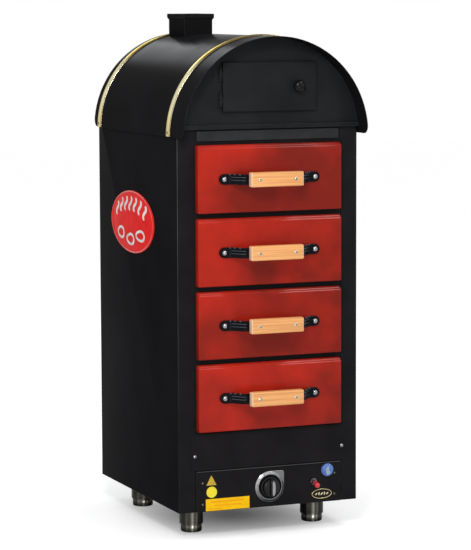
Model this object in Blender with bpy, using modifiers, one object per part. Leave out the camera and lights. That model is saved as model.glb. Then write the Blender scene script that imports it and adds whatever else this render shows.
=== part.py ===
"""Baked potato oven: a tall sheet-steel cabinet with four drawers under a barrel roof.

Metres, Z up. The front faces -Y and the floor is at zero. Heights in the sizes below are
measured up from the underside of the body, and depths back from the front of its posts.
"""
import math

import bmesh
import bpy
from mathutils import Matrix, Vector

# Clearances and sheet
GAP = 0.0003                    # between pieces that touch
OVERRUN = 0.004                 # how far a cutter passes a face
SHEET = 0.0015                  # outer sheet and panels
FOLD_RADIUS = 0.002

# Body
BODY_WIDTH = 0.450
BODY_DEPTH = 0.535
LEG_HEIGHT = 0.065
POST_WIDTH = 0.039
REAR_RETURN = 0.015
PAN_FLANGE = 0.014

# Roof
ROOF_SIDE_OVERHANG = 0.005      # of the roof beside each side panel
ROOF_CENTRE_HEIGHT = 0.865
ROOF_FRONT_OVERHANG = 0.053
ROOF_REAR_OVERHANG = 0.019
ROOF_CORNER_RADIUS = 0.022
EAVE_RISE = 0.003               # eave above the centre of the arch
ARCH_STEPS = 40

# Drawers
DRAWER_COUNT = 4
DRAWER_SIDE_MARGIN = 0.045      # from a drawer front's edge to the side of the body
DRAWER_GAP = 0.0124             # between one drawer front and the next
DRAWER_TOP_GAP = 0.0168         # from the top drawer front to the centre of the arch
LOWEST_DRAWER_HEIGHT = 0.187
DRAWER_PROUD = 0.015
DRAWER_EDGE_RADIUS = 0.004
FRONT_OVERLAP = 0.006           # of a drawer front on the frame round its opening
TRAY_SHEET = 0.0015
TRAY_SIDE_CLEARANCE = 0.008
TRAY_FLOOR_CLEARANCE = 0.004
TRAY_TOP_CLEARANCE = 0.006
TRAY_REAR_CLEARANCE = 0.028

# Drawer handles
STRAP_HEIGHT = 0.024
STRAP_THICKNESS = 0.0045
STRAP_HALF_LENGTH = 0.125
STRAP_FOOT = 0.023
STRAP_RUN = 0.030               # from the foot to the bridge
STRAP_STANDOFF = 0.032
HANDLE_X = -0.004               # of the handle's middle from the drawer's
ARM_STEPS = 5
GRIP_LENGTH = 0.129
GRIP_HEIGHT = 0.0335
GRIP_THICKNESS = 0.020
GRIP_EDGE_RADIUS = 0.002
GRIP_SCREW_OFFSET = 0.0445
BOLT_HEAD_RADIUS = 0.0065
BOLT_HEAD_HEIGHT = 0.0055
BOLT_RADIUS = 0.003
BOLT_TAIL = 0.006
GRIP_SCREW_HEAD_RADIUS = 0.0042
GRIP_SCREW_HEAD_HEIGHT = 0.0015
GRIP_SCREW_RADIUS = 0.002

# Lining, insulation and runners
LINER_SHEET = 0.001
RUNNER_ROOM = 0.016             # from a tray's side to the lining
RUNNER_LAP = 0.012              # of a ledge under the tray's floor
RUNNER_DROP = 0.018
RUNNER_END_CLEARANCE = 0.006
LINER_FLOOR = 0.125
LINER_HEADROOM = 0.008
INSULATION_REAR = 0.030
INSULATION_TOP = 0.022
REAR_BATT_BOTTOM = 0.175
DECK_TOP = 0.0935
DECK_FLANGE = 0.012
WIRING_MARGIN = 0.075           # from the wiring space to the side of the body

# Front panels
FRAME_RISE = 0.030              # of the frame's top above the centre of the arch
FASCIA_INSET = 0.003            # of the fascia's ends from the drawer fronts' edges
FASCIA_DROP = 0.008             # of its lower edge below the centre of the arch
FASCIA_RISE = 0.015
PANEL_PROUD = 0.0015
LOWER_PANEL_MARGIN = 0.030      # from its edge to the side of the body
LOWER_PANEL_BOTTOM = 0.097
LOWER_PANEL_TOP = 0.183
LOWER_SCREW_INSET = 0.039       # from the side of the body
LOWER_SCREW_HEIGHT = 0.131
CONTROL_MARGIN = 0.042
CONTROL_TOP = 0.095
CONTROL_SCREW_INSET = 0.058
CONTROL_SCREW_LOW = 0.017
CONTROL_SCREW_HIGH = 0.067
CONTROL_SCREW_EDGE = 0.009      # from the control screws to the opening
CONTROL_OPENING_BOTTOM = 0.008
CONTROL_OPENING_TOP = 0.089
SERVICE_OPENING_INSET = 0.060
SERVICE_OPENING_MARGIN = 0.010

# Case screws
SCREW_HEAD_RADIUS = 0.004
SCREW_HEAD_HEIGHT = 0.0022
SCREW_RADIUS = 0.002
SCREW_TAIL = 0.004

SMALL_HEAD_RADIUS = 0.0028
SMALL_HEAD_HEIGHT = 0.0016
SMALL_SCREW_RADIUS = 0.0014

# Thermostat
DIAL_X = 0.001
DIAL_HEIGHT = 0.047
BEZEL_RADIUS = 0.0365
BEZEL_HOLE_RADIUS = 0.0275
BEZEL_THICKNESS = 0.0040
BEZEL_EDGE = 0.0015
KNOB_RADIUS = 0.0235
KNOB_SKIRT = 0.006
KNOB_CORE_RADIUS = 0.0205
KNOB_CORE_HEIGHT = 0.016
KNOB_BAR_WIDTH = 0.011
KNOB_BAR_LENGTH = 0.044
KNOB_HEIGHT = 0.024
KNOB_EDGE = 0.0015
SPINDLE_RADIUS = 0.003
SPINDLE_DEPTH = 0.016
THERMOSTAT_SIZE = 0.040
THERMOSTAT_DEPTH = 0.030
CAPILLARY_RADIUS = 0.0012
BULB_RADIUS = 0.003
BULB_LENGTH = 0.070
BULB_SIDE_GAP = 0.010           # from the bulb to the edge of the wiring space
BULB_HEIGHT = 0.172

# Toggle switch
TOGGLE_INSET = 0.112            # from the right side of the body
TOGGLE_HEIGHT = 0.051
TOGGLE_BODY_WIDTH = 0.018
TOGGLE_BODY_HEIGHT = 0.026
TOGGLE_BODY_DEPTH = 0.024
BUSHING_RADIUS = 0.006
BUSHING_REACH = 0.006
BUSHING_BORE_RADIUS = 0.0038
NUT_RADIUS = 0.0085
NUT_THICKNESS = 0.0025
LEVER_TILT = 17.0               # degrees below level, as the lever stands
LEVER_PIVOT_INSET = 0.0025
LEVER_BALL_RADIUS = 0.0034
LEVER_STUB_RADIUS = 0.0022
LEVER_CAP_START = 0.005
LEVER_CAP_LENGTH = 0.021
LEVER_CAP_ROOT_RADIUS = 0.0042
LEVER_CAP_RADIUS = 0.0065

# Pilot lamp
LAMP_INSET = 0.077
LAMP_HEIGHT = 0.076
LENS_RADIUS = 0.0155
LENS_RISE = 0.007
LENS_RIM = 0.003
LAMP_BARREL_RADIUS = 0.011
LAMP_BARREL_DEPTH = 0.035
LAMP_COLLAR_RADIUS = 0.0135
LAMP_COLLAR_THICKNESS = 0.005
LAMP_CLEARANCE = 0.001

# Small oval badge
BADGE_INSET = 0.091
BADGE_HEIGHT = 0.020
BADGE_HALF_WIDTH = 0.026
BADGE_HALF_HEIGHT = 0.012
BADGE_THICKNESS = 0.0018
BADGE_RIM = 0.0022
BADGE_FIELD_DEPTH = 0.0008

# Oval plate on the left side
SIDE_PLATE_DEPTH = 0.294        # from the front of the body back to its middle
SIDE_PLATE_HEIGHT = 0.652
SIDE_PLATE_HALF_WIDTH = 0.146
SIDE_PLATE_HALF_HEIGHT = 0.0745
SIDE_PLATE_DOME = 0.0080
SIDE_PLATE_SHEET = 0.0010
SIDE_PLATE_RIM_SHARE = 0.93
SIDE_PLATE_SHOULDER_SHARE = 0.55

# Gables, top compartment and gable door
LEDGE_RISE = 0.019              # above the centre of the arch
LEDGE_HEIGHT = 0.009
LEDGE_REACH = 0.008
DOOR_CENTRE_X = 0.0015
DOOR_SIDE_MARGIN = 0.108        # from its edge to the side of the body
DOOR_RISE = 0.058
DOOR_TOP_MARGIN = 0.059         # below the crown of the roof
DOOR_DEPTH = 0.008
DOOR_EDGE_RADIUS = 0.002
DOOR_SHEET = 0.0012
DOOR_LAP = 0.014
COMPARTMENT_REAR_GAP = 0.052    # from the top compartment back to the chimney
DOOR_KNOB_INSET = 0.0505        # from the door's right edge
DOOR_KNOB_RADIUS = 0.0145
DOOR_KNOB_REACH = 0.026
DOOR_KNOB_NECK = 0.006
DOOR_KNOB_NECK_RADIUS = 0.006
HINGE_LENGTH_SHARE = 0.2655     # of the door's height
HINGE_INSET = 0.012             # from the door's top and bottom edges
KNUCKLE_RADIUS = 0.0036
KNUCKLE_GAP = 0.0004
HINGE_PIN_RADIUS = 0.0016
HINGE_LEAF_WIDTH = 0.016
HINGE_LEAF_THICKNESS = 0.0012
HINGE_SETBACK = 0.0045          # of the pin from the door's edge

# Trim strips over the roof
STRIP_WIDTH = 0.022
STRIP_THICKNESS = 0.0032
STRIP_EDGE = 0.0014
FRONT_STRIP_DEPTH = 0.041
REAR_STRIP_SETBACK = 0.022
STRIP_SCREW_RISE = 0.012

# Chimney
CHIMNEY_X = -0.0164
CHIMNEY_WIDTH = 0.0728
CHIMNEY_DEPTH = 0.106
CHIMNEY_SETBACK = 0.090         # of its middle from the back of the body
CHIMNEY_RISE = 0.048            # above the crown of the roof
CHIMNEY_FLARE = 0.0035
CHIMNEY_FLARE_HEIGHT = 0.006
CHIMNEY_LIP = 0.009             # upright part of the rim above the flare
FLUE_CLEARANCE = 0.001

# Heating elements
ELEMENT_RADIUS = 0.00425
ELEMENT_HEIGHT = 0.150
ELEMENT_INNER_X = 0.028
ELEMENT_SIDE_GAP = 0.022        # from the outer runs to the edge of the wiring space
ELEMENT_FRONT = 0.045
ELEMENT_REAR_CLEARANCE = 0.030
BEND_STEPS = 8
ELEMENT_TAIL = 0.022

# Rear
REAR_MARGIN = 0.004
VENT_COUNT = 5
VENT_WIDTH = 0.090
VENT_SLOT = 0.006
VENT_PITCH = 0.014
VENT_X = 0.110
VENT_BOTTOM = 0.030
GLAND_INSET = 0.060             # from the left side of the body
GLAND_HEIGHT = 0.040
GLAND_BORE_RADIUS = 0.0045
GLAND_NECK_RADIUS = 0.0095
GLAND_FLANGE_RADIUS = 0.0125
GLAND_REACH = 0.014
GLAND_TAIL = 0.009
GLAND_FLANGE = 0.004
TERMINAL_LENGTH = 0.060
TERMINAL_WIDTH = 0.026
TERMINAL_HEIGHT = 0.022
TERMINAL_SETBACK = 0.050
TERMINAL_WAYS = 3
TERMINAL_BORE_RADIUS = 0.004
TERMINAL_BORE_DEPTH = 0.012

# Legs
LEG_SIDE_INSET = 0.070
LEG_INSET = 0.103
SLEEVE_RADIUS = 0.0278
SLEEVE_WALL = 0.002
SLEEVE_NUT = 0.006
FOOT_RADIUS = 0.025
FOOT_HEIGHT = 0.0187
FOOT_EDGE = 0.003
STEM_RADIUS = 0.006
STEM_HEIGHT = 0.034

# Smoothness
ROUND_STEPS = 20
FINE_STEPS = 28
HOLE_STEPS = 10
SMOOTH_ANGLE = math.radians(35)

# Derived places
HANDLE_REACH = DRAWER_PROUD + STRAP_STANDOFF + GRIP_THICKNESS + GRIP_SCREW_HEAD_HEIGHT + 3 * GAP
FRONT_Y = HANDLE_REACH - (HANDLE_REACH + BODY_DEPTH + ROOF_REAR_OVERHANG) / 2
HALF_WIDTH = BODY_WIDTH / 2
ROOF_RADIUS = HALF_WIDTH + ROOF_SIDE_OVERHANG
DRAWER_WIDTH = 2 * (HALF_WIDTH - DRAWER_SIDE_MARGIN)
STACK_TOP = ROOF_CENTRE_HEIGHT - DRAWER_TOP_GAP
DRAWER_PITCH = (STACK_TOP + DRAWER_GAP - LOWEST_DRAWER_HEIGHT) / DRAWER_COUNT
DRAWER_HEIGHT = DRAWER_PITCH - DRAWER_GAP
WIRING_WIDTH = 2 * (HALF_WIDTH - WIRING_MARGIN)
FRAME_TOP = ROOF_CENTRE_HEIGHT + FRAME_RISE
FASCIA_WIDTH = DRAWER_WIDTH - 2 * FASCIA_INSET
FASCIA_BOTTOM = ROOF_CENTRE_HEIGHT - FASCIA_DROP
FASCIA_TOP = ROOF_CENTRE_HEIGHT + FASCIA_RISE
LOWER_PANEL_WIDTH = 2 * (HALF_WIDTH - LOWER_PANEL_MARGIN)
LOWER_SCREW_X = HALF_WIDTH - LOWER_SCREW_INSET
CONTROL_WIDTH = 2 * (HALF_WIDTH - CONTROL_MARGIN)
CONTROL_SCREW_X = HALF_WIDTH - CONTROL_SCREW_INSET
SERVICE_OPENING_WIDTH = 2 * (HALF_WIDTH - SERVICE_OPENING_INSET)
TOGGLE_X = HALF_WIDTH - TOGGLE_INSET
LAMP_X = HALF_WIDTH - LAMP_INSET
BADGE_X = HALF_WIDTH - BADGE_INSET
GLAND_X = GLAND_INSET - HALF_WIDTH
LEG_X = HALF_WIDTH - LEG_SIDE_INSET
LEDGE_BOTTOM = ROOF_CENTRE_HEIGHT + LEDGE_RISE
LEDGE_TOP = LEDGE_BOTTOM + LEDGE_HEIGHT
DOOR_HALF_WIDTH = HALF_WIDTH - DOOR_SIDE_MARGIN
DOOR_BOTTOM = ROOF_CENTRE_HEIGHT + DOOR_RISE
DOOR_TOP = ROOF_CENTRE_HEIGHT + ROOF_RADIUS - DOOR_TOP_MARGIN
DOOR_KNOB_X = DOOR_CENTRE_X + DOOR_HALF_WIDTH - DOOR_KNOB_INSET
HINGE_LENGTH = HINGE_LENGTH_SHARE * (DOOR_TOP - DOOR_BOTTOM)
CHIMNEY_TOP = ROOF_CENTRE_HEIGHT + ROOF_RADIUS + CHIMNEY_RISE
INNER_HALF_WIDTH = HALF_WIDTH - SHEET - GAP
ROOF_INNER_RADIUS = ROOF_RADIUS - SHEET
GABLE_RADIUS = ROOF_INNER_RADIUS - GAP
SIDE_TOP = ROOF_CENTRE_HEIGHT + math.sqrt(ROOF_INNER_RADIUS ** 2 - (HALF_WIDTH + GAP) ** 2)
FRAME_FRONT = SHEET + GAP
FRAME_BACK = FRAME_FRONT + SHEET
LINER_FRONT = FRAME_BACK + GAP
LINER_BACK = BODY_DEPTH - SHEET - GAP - INSULATION_REAR - GAP
TRAY_REAR = LINER_BACK - TRAY_REAR_CLEARANCE
OPENING_HALF_WIDTH = DRAWER_WIDTH / 2 - FRONT_OVERLAP
TRAY_HALF_WIDTH = OPENING_HALF_WIDTH - TRAY_SIDE_CLEARANCE
LINER_INNER_HALF = TRAY_HALF_WIDTH + RUNNER_ROOM
LINER_HALF_WIDTH = LINER_INNER_HALF + LINER_SHEET
TOP_OPENING = LOWEST_DRAWER_HEIGHT + (DRAWER_COUNT - 1) * DRAWER_PITCH + DRAWER_HEIGHT - FRONT_OVERLAP
LINER_TOP = TOP_OPENING + LINER_HEADROOM + LINER_SHEET
LINER_BOTTOM = LINER_FLOOR - LINER_SHEET
REAR_STRIP_DEPTH = BODY_DEPTH - REAR_STRIP_SETBACK
CHIMNEY_MIDDLE = BODY_DEPTH - CHIMNEY_SETBACK
COMPARTMENT_DEPTH = CHIMNEY_MIDDLE - CHIMNEY_DEPTH / 2 - COMPARTMENT_REAR_GAP
ELEMENT_OUTER_X = WIRING_WIDTH / 2 - ELEMENT_SIDE_GAP
BULB_X = WIRING_WIDTH / 2 - BULB_SIDE_GAP
CONTROL_OPENING_WIDTH = 2 * (CONTROL_SCREW_X - CONTROL_SCREW_EDGE)
BATT_TOP = LINER_TOP + GAP + INSULATION_TOP
GABLE_FACE = -(GAP + SHEET)     # depth of the front gable's face, before the posts
PANEL_FACE = -PANEL_PROUD
PANEL_SEAT = GAP + SHEET + GAP  # from the front of the posts out to the lower panel's screw heads
DRAWER_FACE = -DRAWER_PROUD

FACING_FRONT = (math.radians(90), 0.0, 0.0)
FACING_BACK = (math.radians(90), 0.0, math.radians(180))
FACING_LEFT = (math.radians(90), 0.0, math.radians(-90))
FACING_RIGHT = (math.radians(90), 0.0, math.radians(90))
FACING_UP = (0.0, 0.0, 0.0)


def place(x, depth, height):
    """World position of a point given across, behind the posts' front and above the body's underside."""
    return Vector((x, FRONT_Y + depth, LEG_HEIGHT + height))


# Scene, collections and finishes

def clear_scene():
    for item in list(bpy.data.objects):
        bpy.data.objects.remove(item, do_unlink=True)


def new_collection(name):
    collection = bpy.data.collections.new(name)
    bpy.context.scene.collection.children.link(collection)
    return collection


def new_finish(name, colour, roughness, metallic):
    finish = bpy.data.materials.new(name)
    finish.use_nodes = True
    shader = finish.node_tree.nodes["Principled BSDF"]
    shader.inputs["Base Color"].default_value = (*colour, 1.0)
    shader.inputs["Roughness"].default_value = roughness
    shader.inputs["Metallic"].default_value = metallic
    finish.diffuse_color = (*colour, 1.0)
    return finish


clear_scene()
OVEN = new_collection("baked_potato_oven")
CUTTERS = new_collection("cutters")

BLACK_COAT = ("black powder coat", (0.012, 0.012, 0.014), 0.42, 0.0)
RED_ENAMEL = ("red drawer enamel", (0.42, 0.018, 0.012), 0.25, 0.0)
PLATE_RED = ("red oval enamel", (0.55, 0.02, 0.02), 0.22, 0.0)
BRASS = ("polished brass", (0.80, 0.55, 0.20), 0.22, 1.0)
BEECH = ("varnished beech", (0.72, 0.40, 0.16), 0.45, 0.0)
CAST_BLACK = ("black cast handle", (0.010, 0.010, 0.012), 0.30, 0.2)
BRIGHT_STEEL = ("bright steel", (0.62, 0.62, 0.62), 0.25, 1.0)
BRUSHED_STEEL = ("brushed steel", (0.42, 0.41, 0.38), 0.35, 1.0)
GALVANISED = ("galvanised sheet", (0.45, 0.46, 0.47), 0.45, 1.0)
MINERAL_WOOL = ("mineral wool", (0.55, 0.46, 0.26), 0.95, 0.0)
BLACK_PLASTIC = ("black plastic", (0.012, 0.012, 0.012), 0.35, 0.0)
WHITE_CERAMIC = ("white ceramic", (0.75, 0.73, 0.68), 0.5, 0.0)
RED_PLASTIC = ("red plastic", (0.65, 0.02, 0.03), 0.3, 0.0)
BLUE_LENS = ("blue lens", (0.03, 0.12, 0.55), 0.15, 0.0)
FINISHES = {}


def finish_of(kind):
    name, colour, roughness, metallic = kind
    if name not in FINISHES:
        FINISHES[name] = new_finish(name, colour, roughness, metallic)
    return FINISHES[name]


# Modelling helpers

def add_object(name, mesh, kind, at=(0, 0, 0), turn=FACING_UP):
    """A named piece of the oven, or a cutter when it has no finish."""
    item = bpy.data.objects.new(name, mesh)
    item.location = at
    item.rotation_euler = turn
    if kind is None:
        CUTTERS.objects.link(item)
        item.hide_render = True
        item.display_type = "WIRE"
    else:
        OVEN.objects.link(item)
        mesh.materials.clear()
        mesh.materials.append(finish_of(kind))
    return item


def mesh_from(bm, name):
    mesh = bpy.data.meshes.new(name)
    bmesh.ops.recalc_face_normals(bm, faces=bm.faces)
    bm.to_mesh(mesh)
    bm.free()
    return mesh


def block(name, low, high, kind=None):
    """A box between two corners, its origin at its middle."""
    low, high = Vector(low), Vector(high)
    bm = bmesh.new()
    bmesh.ops.create_cube(bm, size=1.0, matrix=Matrix.Diagonal((*(high - low), 1.0)))
    return add_object(name, mesh_from(bm, name), kind, (low + high) / 2)


def pan(name, low, high, wall, radius, open_side, kind):
    """A sheet pan: a box without the face on its open side, with rounded folds and a wall inward."""
    low, high = Vector(low), Vector(high)
    bm = bmesh.new()
    bmesh.ops.create_cube(bm, size=1.0, matrix=Matrix.Diagonal((*(high - low), 1.0)))
    bm.faces.ensure_lookup_table()
    away = Vector(open_side)
    lost = [face for face in bm.faces if face.normal.dot(away) > 0.9]
    bmesh.ops.delete(bm, geom=lost, context="FACES_ONLY")
    mesh = bpy.data.meshes.new(name)
    bm.to_mesh(mesh)
    bm.free()
    item = add_object(name, mesh, kind, (low + high) / 2)
    if radius > 0:
        folds = item.modifiers.new("folds", "BEVEL")
        folds.width = radius
        folds.segments = 2
        folds.limit_method = "ANGLE"
        folds.angle_limit = SMOOTH_ANGLE
    skin = item.modifiers.new("sheet", "SOLIDIFY")
    skin.thickness = wall
    skin.offset = -1.0
    skin.use_even_offset = True
    return item


def folded_sheet(name, path, length, wall, at, turn, kind):
    """A sheet drawn as a path and run along its local Z, with the wall on the path's left side."""
    bm = bmesh.new()
    corners = [bm.verts.new((u, v, 0.0)) for u, v in path]
    edges = [bm.edges.new(pair) for pair in zip(corners, corners[1:])]
    grown = bmesh.ops.extrude_edge_only(bm, edges=edges)["geom"]
    top = [part for part in grown if isinstance(part, bmesh.types.BMVert)]
    bmesh.ops.translate(bm, verts=top, vec=(0.0, 0.0, length))
    bmesh.ops.recalc_face_normals(bm, faces=bm.faces)
    first = corners[0].link_faces[0]
    start, end = Vector((*path[0], 0.0)), Vector((*path[1], 0.0))
    outward = (end - start).cross(Vector((0.0, 0.0, 1.0)))
    if first.normal.dot(outward) < 0:
        bmesh.ops.reverse_faces(bm, faces=bm.faces)
    mesh = bpy.data.meshes.new(name)
    bm.to_mesh(mesh)
    bm.free()
    item = add_object(name, mesh, kind, at, turn)
    skin = item.modifiers.new("sheet", "SOLIDIFY")
    skin.thickness = wall
    skin.offset = -1.0
    skin.use_even_offset = True
    return item


def outline_mesh(name, loops, depth):
    """Closed outlines, the later ones holes, filled and grown from local Z zero to the depth."""
    drawing = bpy.data.curves.new(name, "CURVE")
    drawing.dimensions = "2D"
    drawing.fill_mode = "BOTH"
    drawing.extrude = depth / 2
    for loop in loops:
        spline = drawing.splines.new("POLY")
        spline.points.add(len(loop) - 1)
        for point, (u, v) in zip(spline.points, loop):
            point.co = (u, v, 0.0, 1.0)
        spline.use_cyclic_u = True
    return curve_mesh(name, drawing, (0.0, 0.0, depth / 2))


def curve_mesh(name, drawing, shift=(0.0, 0.0, 0.0)):
    """The mesh of a curve, its caps welded on."""
    holder = bpy.data.objects.new(name, drawing)
    bpy.context.scene.collection.objects.link(holder)
    bpy.context.view_layer.update()
    made = bpy.data.meshes.new_from_object(holder.evaluated_get(bpy.context.evaluated_depsgraph_get()))
    bpy.data.objects.remove(holder, do_unlink=True)
    bm = bmesh.new()
    bm.from_mesh(made)
    bpy.data.meshes.remove(made)
    bmesh.ops.remove_doubles(bm, verts=bm.verts, dist=GAP / 10)
    bmesh.ops.translate(bm, verts=bm.verts, vec=shift)
    return mesh_from(bm, name)


def prism(name, loops, depth, at, turn, kind=None):
    return add_object(name, outline_mesh(name, loops, depth), kind, at, turn)


def tube_mesh(name, runs, radius, sides):
    """Round tubes with filled ends along runs of points."""
    drawing = bpy.data.curves.new(name, "CURVE")
    drawing.dimensions = "3D"
    drawing.bevel_depth = radius
    drawing.bevel_resolution = sides
    drawing.use_fill_caps = True
    for run in runs:
        spline = drawing.splines.new("POLY")
        spline.points.add(len(run) - 1)
        for point, co in zip(spline.points, run):
            point.co = (*co, 1.0)
    return curve_mesh(name, drawing)


def turned_mesh(name, profile, steps=ROUND_STEPS, closed=False):
    """A profile of (radius, height) points turned about local Z; it runs down the outer side."""
    bm = bmesh.new()
    points = [bm.verts.new((radius, 0.0, height)) for radius, height in profile]
    pairs = list(zip(points, points[1:]))
    if closed:
        pairs.append((points[-1], points[0]))
    for pair in pairs:
        bm.edges.new(pair)
    mesh = bpy.data.meshes.new(name)
    bm.to_mesh(mesh)
    bm.free()
    holder = bpy.data.objects.new(name, mesh)
    bpy.context.scene.collection.objects.link(holder)
    turn = holder.modifiers.new("turn", "SCREW")
    turn.axis = "Z"
    turn.angle = math.radians(360)
    turn.steps = steps
    turn.render_steps = steps
    turn.use_merge_vertices = True
    turn.merge_threshold = GAP / 10
    bpy.context.view_layer.update()
    made = bpy.data.meshes.new_from_object(holder.evaluated_get(bpy.context.evaluated_depsgraph_get()))
    bpy.data.objects.remove(holder, do_unlink=True)
    bm = bmesh.new()
    bm.from_mesh(made)
    bpy.data.meshes.remove(made)
    bmesh.ops.remove_doubles(bm, verts=bm.verts, dist=GAP / 10)
    return mesh_from(bm, name)


def turned(name, profile, at, turn, kind=None, steps=ROUND_STEPS, closed=False):
    item = add_object(name, turned_mesh(name, profile, steps, closed), kind, at, turn)
    shade_round(item)
    return item


def rod(name, radius, start, end, at, turn, kind=None, steps=HOLE_STEPS):
    """A plain cylinder along local Z between two heights."""
    bm = bmesh.new()
    middle = Matrix.Translation((0.0, 0.0, (start + end) / 2))
    bmesh.ops.create_cone(bm, cap_ends=True, segments=steps, radius1=radius, radius2=radius,
                          depth=end - start, matrix=middle)
    item = add_object(name, mesh_from(bm, name), kind, at, turn)
    shade_round(item)
    return item


def shade_round(item):
    item.data.shade_smooth()
    item.data.set_sharp_from_angle(angle=SMOOTH_ANGLE)


def combine(target, other, operation):
    step = target.modifiers.new(other.name, "BOOLEAN")
    step.operation = operation
    step.solver = "EXACT"
    step.object = other
    return target


def cut(target, *cutters):
    for cutter in cutters:
        combine(target, cutter, "DIFFERENCE")
    return target


def join(target, *others):
    for other in others:
        combine(target, other, "UNION")
    return target


def round_edges(item, chosen, width, segments=2):
    """Bevel the edges that the test picks; it is given the two ends of each edge."""
    bm = bmesh.new()
    bm.from_mesh(item.data)
    edges = [edge for edge in bm.edges if chosen(edge.verts[0].co, edge.verts[1].co)
             and edge.calc_face_angle(0.0) > SMOOTH_ANGLE]
    bmesh.ops.bevel(bm, geom=edges, offset=width, segments=segments, profile=0.5, affect="EDGES",
                    clamp_overlap=True)
    bm.to_mesh(item.data)
    bm.free()
    return item


def soften(item, width, segments=2):
    """A Bevel modifier on every sharp edge."""
    step = item.modifiers.new("edges", "BEVEL")
    step.width = width
    step.segments = segments
    step.limit_method = "ANGLE"
    step.angle_limit = SMOOTH_ANGLE
    return item


def axis_empty(name, at):
    """An empty on a joint's axis, which carries the moving pieces."""
    empty = bpy.data.objects.new(name, None)
    empty.empty_display_size = FOOT_RADIUS
    empty.location = at
    OVEN.objects.link(empty)
    return empty


def carry(empty, *items):
    for item in items:
        item.parent = empty
        item.location = Vector(item.location) - Vector(empty.location)


def arc_points(radius, start, end, steps, centre=(0.0, 0.0)):
    """Points on an arc between two angles in degrees."""
    points = []
    for step in range(steps + 1):
        angle = math.radians(start + (end - start) * step / steps)
        points.append((centre[0] + radius * math.cos(angle), centre[1] + radius * math.sin(angle)))
    return points


def ellipse_points(half_width, half_height, steps, centre=(0.0, 0.0)):
    return [(centre[0] + half_width * math.cos(math.tau * step / steps),
             centre[1] + half_height * math.sin(math.tau * step / steps)) for step in range(steps)]


def rectangle(left, bottom, right, top):
    return [(left, bottom), (right, bottom), (right, top), (left, top)]


def folded_corner(centre, start, end):
    return arc_points(FOLD_RADIUS, start, end, 3, centre)


# Body shell

def side_panel(name, hand):
    """A side sheet folded round into the front post and a short return at the rear."""
    edge = HALF_WIDTH - FOLD_RADIUS
    path = [(HALF_WIDTH - POST_WIDTH, 0.0)]
    path += folded_corner((edge, FOLD_RADIUS), -90, 0)
    path += folded_corner((edge, BODY_DEPTH - FOLD_RADIUS), 0, 90)
    path += [(HALF_WIDTH - REAR_RETURN, BODY_DEPTH)]
    if hand < 0:
        path = [(-u, v) for u, v in reversed(path)]
    panel = folded_sheet(name, path, SIDE_TOP, SHEET, place(0.0, 0.0, 0.0), FACING_UP, BLACK_COAT)
    post_screw = screw_hole("cut_post_screw_" + name, hand * LOWER_SCREW_X, LOWER_SCREW_HEIGHT)
    cut(panel, post_screw)
    for label, depth in (("front", FRONT_STRIP_DEPTH), ("rear", REAR_STRIP_DEPTH)):
        cut(panel, side_screw_hole("cut_strip_screw_" + label + name, hand, depth))
    return panel


def screw_hole(name, x, height, radius=SCREW_RADIUS):
    """A cutter for a case screw through the front panels."""
    return rod(name, radius + GAP, -OVERRUN * 2, OVERRUN, place(x, 0.0, height), FACING_FRONT)


def side_screw_hole(name, hand, depth):
    """A cutter for a trim screw through a strip, the roof sheet and the side panel."""
    turn = FACING_RIGHT if hand > 0 else FACING_LEFT
    at = place(hand * HALF_WIDTH, depth, ROOF_CENTRE_HEIGHT + STRIP_SCREW_RISE)
    reach = ROOF_RADIUS + STRIP_THICKNESS - HALF_WIDTH + OVERRUN
    return rod(name, SCREW_RADIUS + GAP, -OVERRUN, reach, at, turn)


def base_pan():
    low = place(-INNER_HALF_WIDTH, LINER_FRONT, 0.0)
    high = place(INNER_HALF_WIDTH, BODY_DEPTH - SHEET - GAP, PAN_FLANGE)
    base = pan("base_pan", low, high, SHEET, 0.0, (0, 0, 1), BLACK_COAT)
    for index, (x, depth) in enumerate(leg_places()):
        join(base, leg_sleeve(index, x, depth))
    return base


def bottom_deck():
    low = place(-INNER_HALF_WIDTH, LINER_FRONT, DECK_TOP - DECK_FLANGE)
    high = place(INNER_HALF_WIDTH, BODY_DEPTH - SHEET - GAP, DECK_TOP)
    deck = pan("bottom_deck", low, high, SHEET, 0.0, (0, 0, -1), GALVANISED)
    slot = block("cut_wiring", place(-WIRING_WIDTH / 2, LINER_BACK + OVERRUN, DECK_TOP - SHEET - OVERRUN),
                 place(WIRING_WIDTH / 2, BODY_DEPTH - SHEET - GAP - OVERRUN, DECK_TOP + OVERRUN))
    clear = LAMP_COLLAR_RADIUS + LAMP_CLEARANCE
    notch = block("cut_lamp_notch", place(LAMP_X - clear, 0.0, DECK_TOP - DECK_FLANGE - OVERRUN),
                  place(LAMP_X + clear, LAMP_BARREL_DEPTH, LAMP_HEIGHT + clear))
    return cut(deck, slot, notch)


def rear_panel():
    back = BODY_DEPTH + GAP
    low = place(-HALF_WIDTH + REAR_MARGIN, back, REAR_MARGIN)
    high = place(HALF_WIDTH - REAR_MARGIN, back + SHEET, LEDGE_BOTTOM - GAP)
    panel = block("rear_panel", low, high, BLACK_COAT)
    loops = []
    for hand in (-1, 1):
        for row in range(VENT_COUNT):
            bottom = VENT_BOTTOM + row * VENT_PITCH
            loops.append(rectangle(hand * VENT_X - VENT_WIDTH / 2, bottom,
                                   hand * VENT_X + VENT_WIDTH / 2, bottom + VENT_SLOT))
    if GLAND_X < 0:
        loops = loops[VENT_COUNT:]
    for number, loop in enumerate(loops):
        vent = prism("cut_vent_%d" % number, [loop], SHEET + 2 * OVERRUN,
                     place(0.0, back + SHEET + OVERRUN, 0.0), FACING_FRONT)
        cut(panel, vent)
    gland_hole = rod("cut_gland", GLAND_NECK_RADIUS + GAP, -OVERRUN, SHEET + OVERRUN,
                     place(GLAND_X, back, GLAND_HEIGHT), FACING_BACK, steps=ROUND_STEPS)
    return cut(panel, gland_hole)


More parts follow.
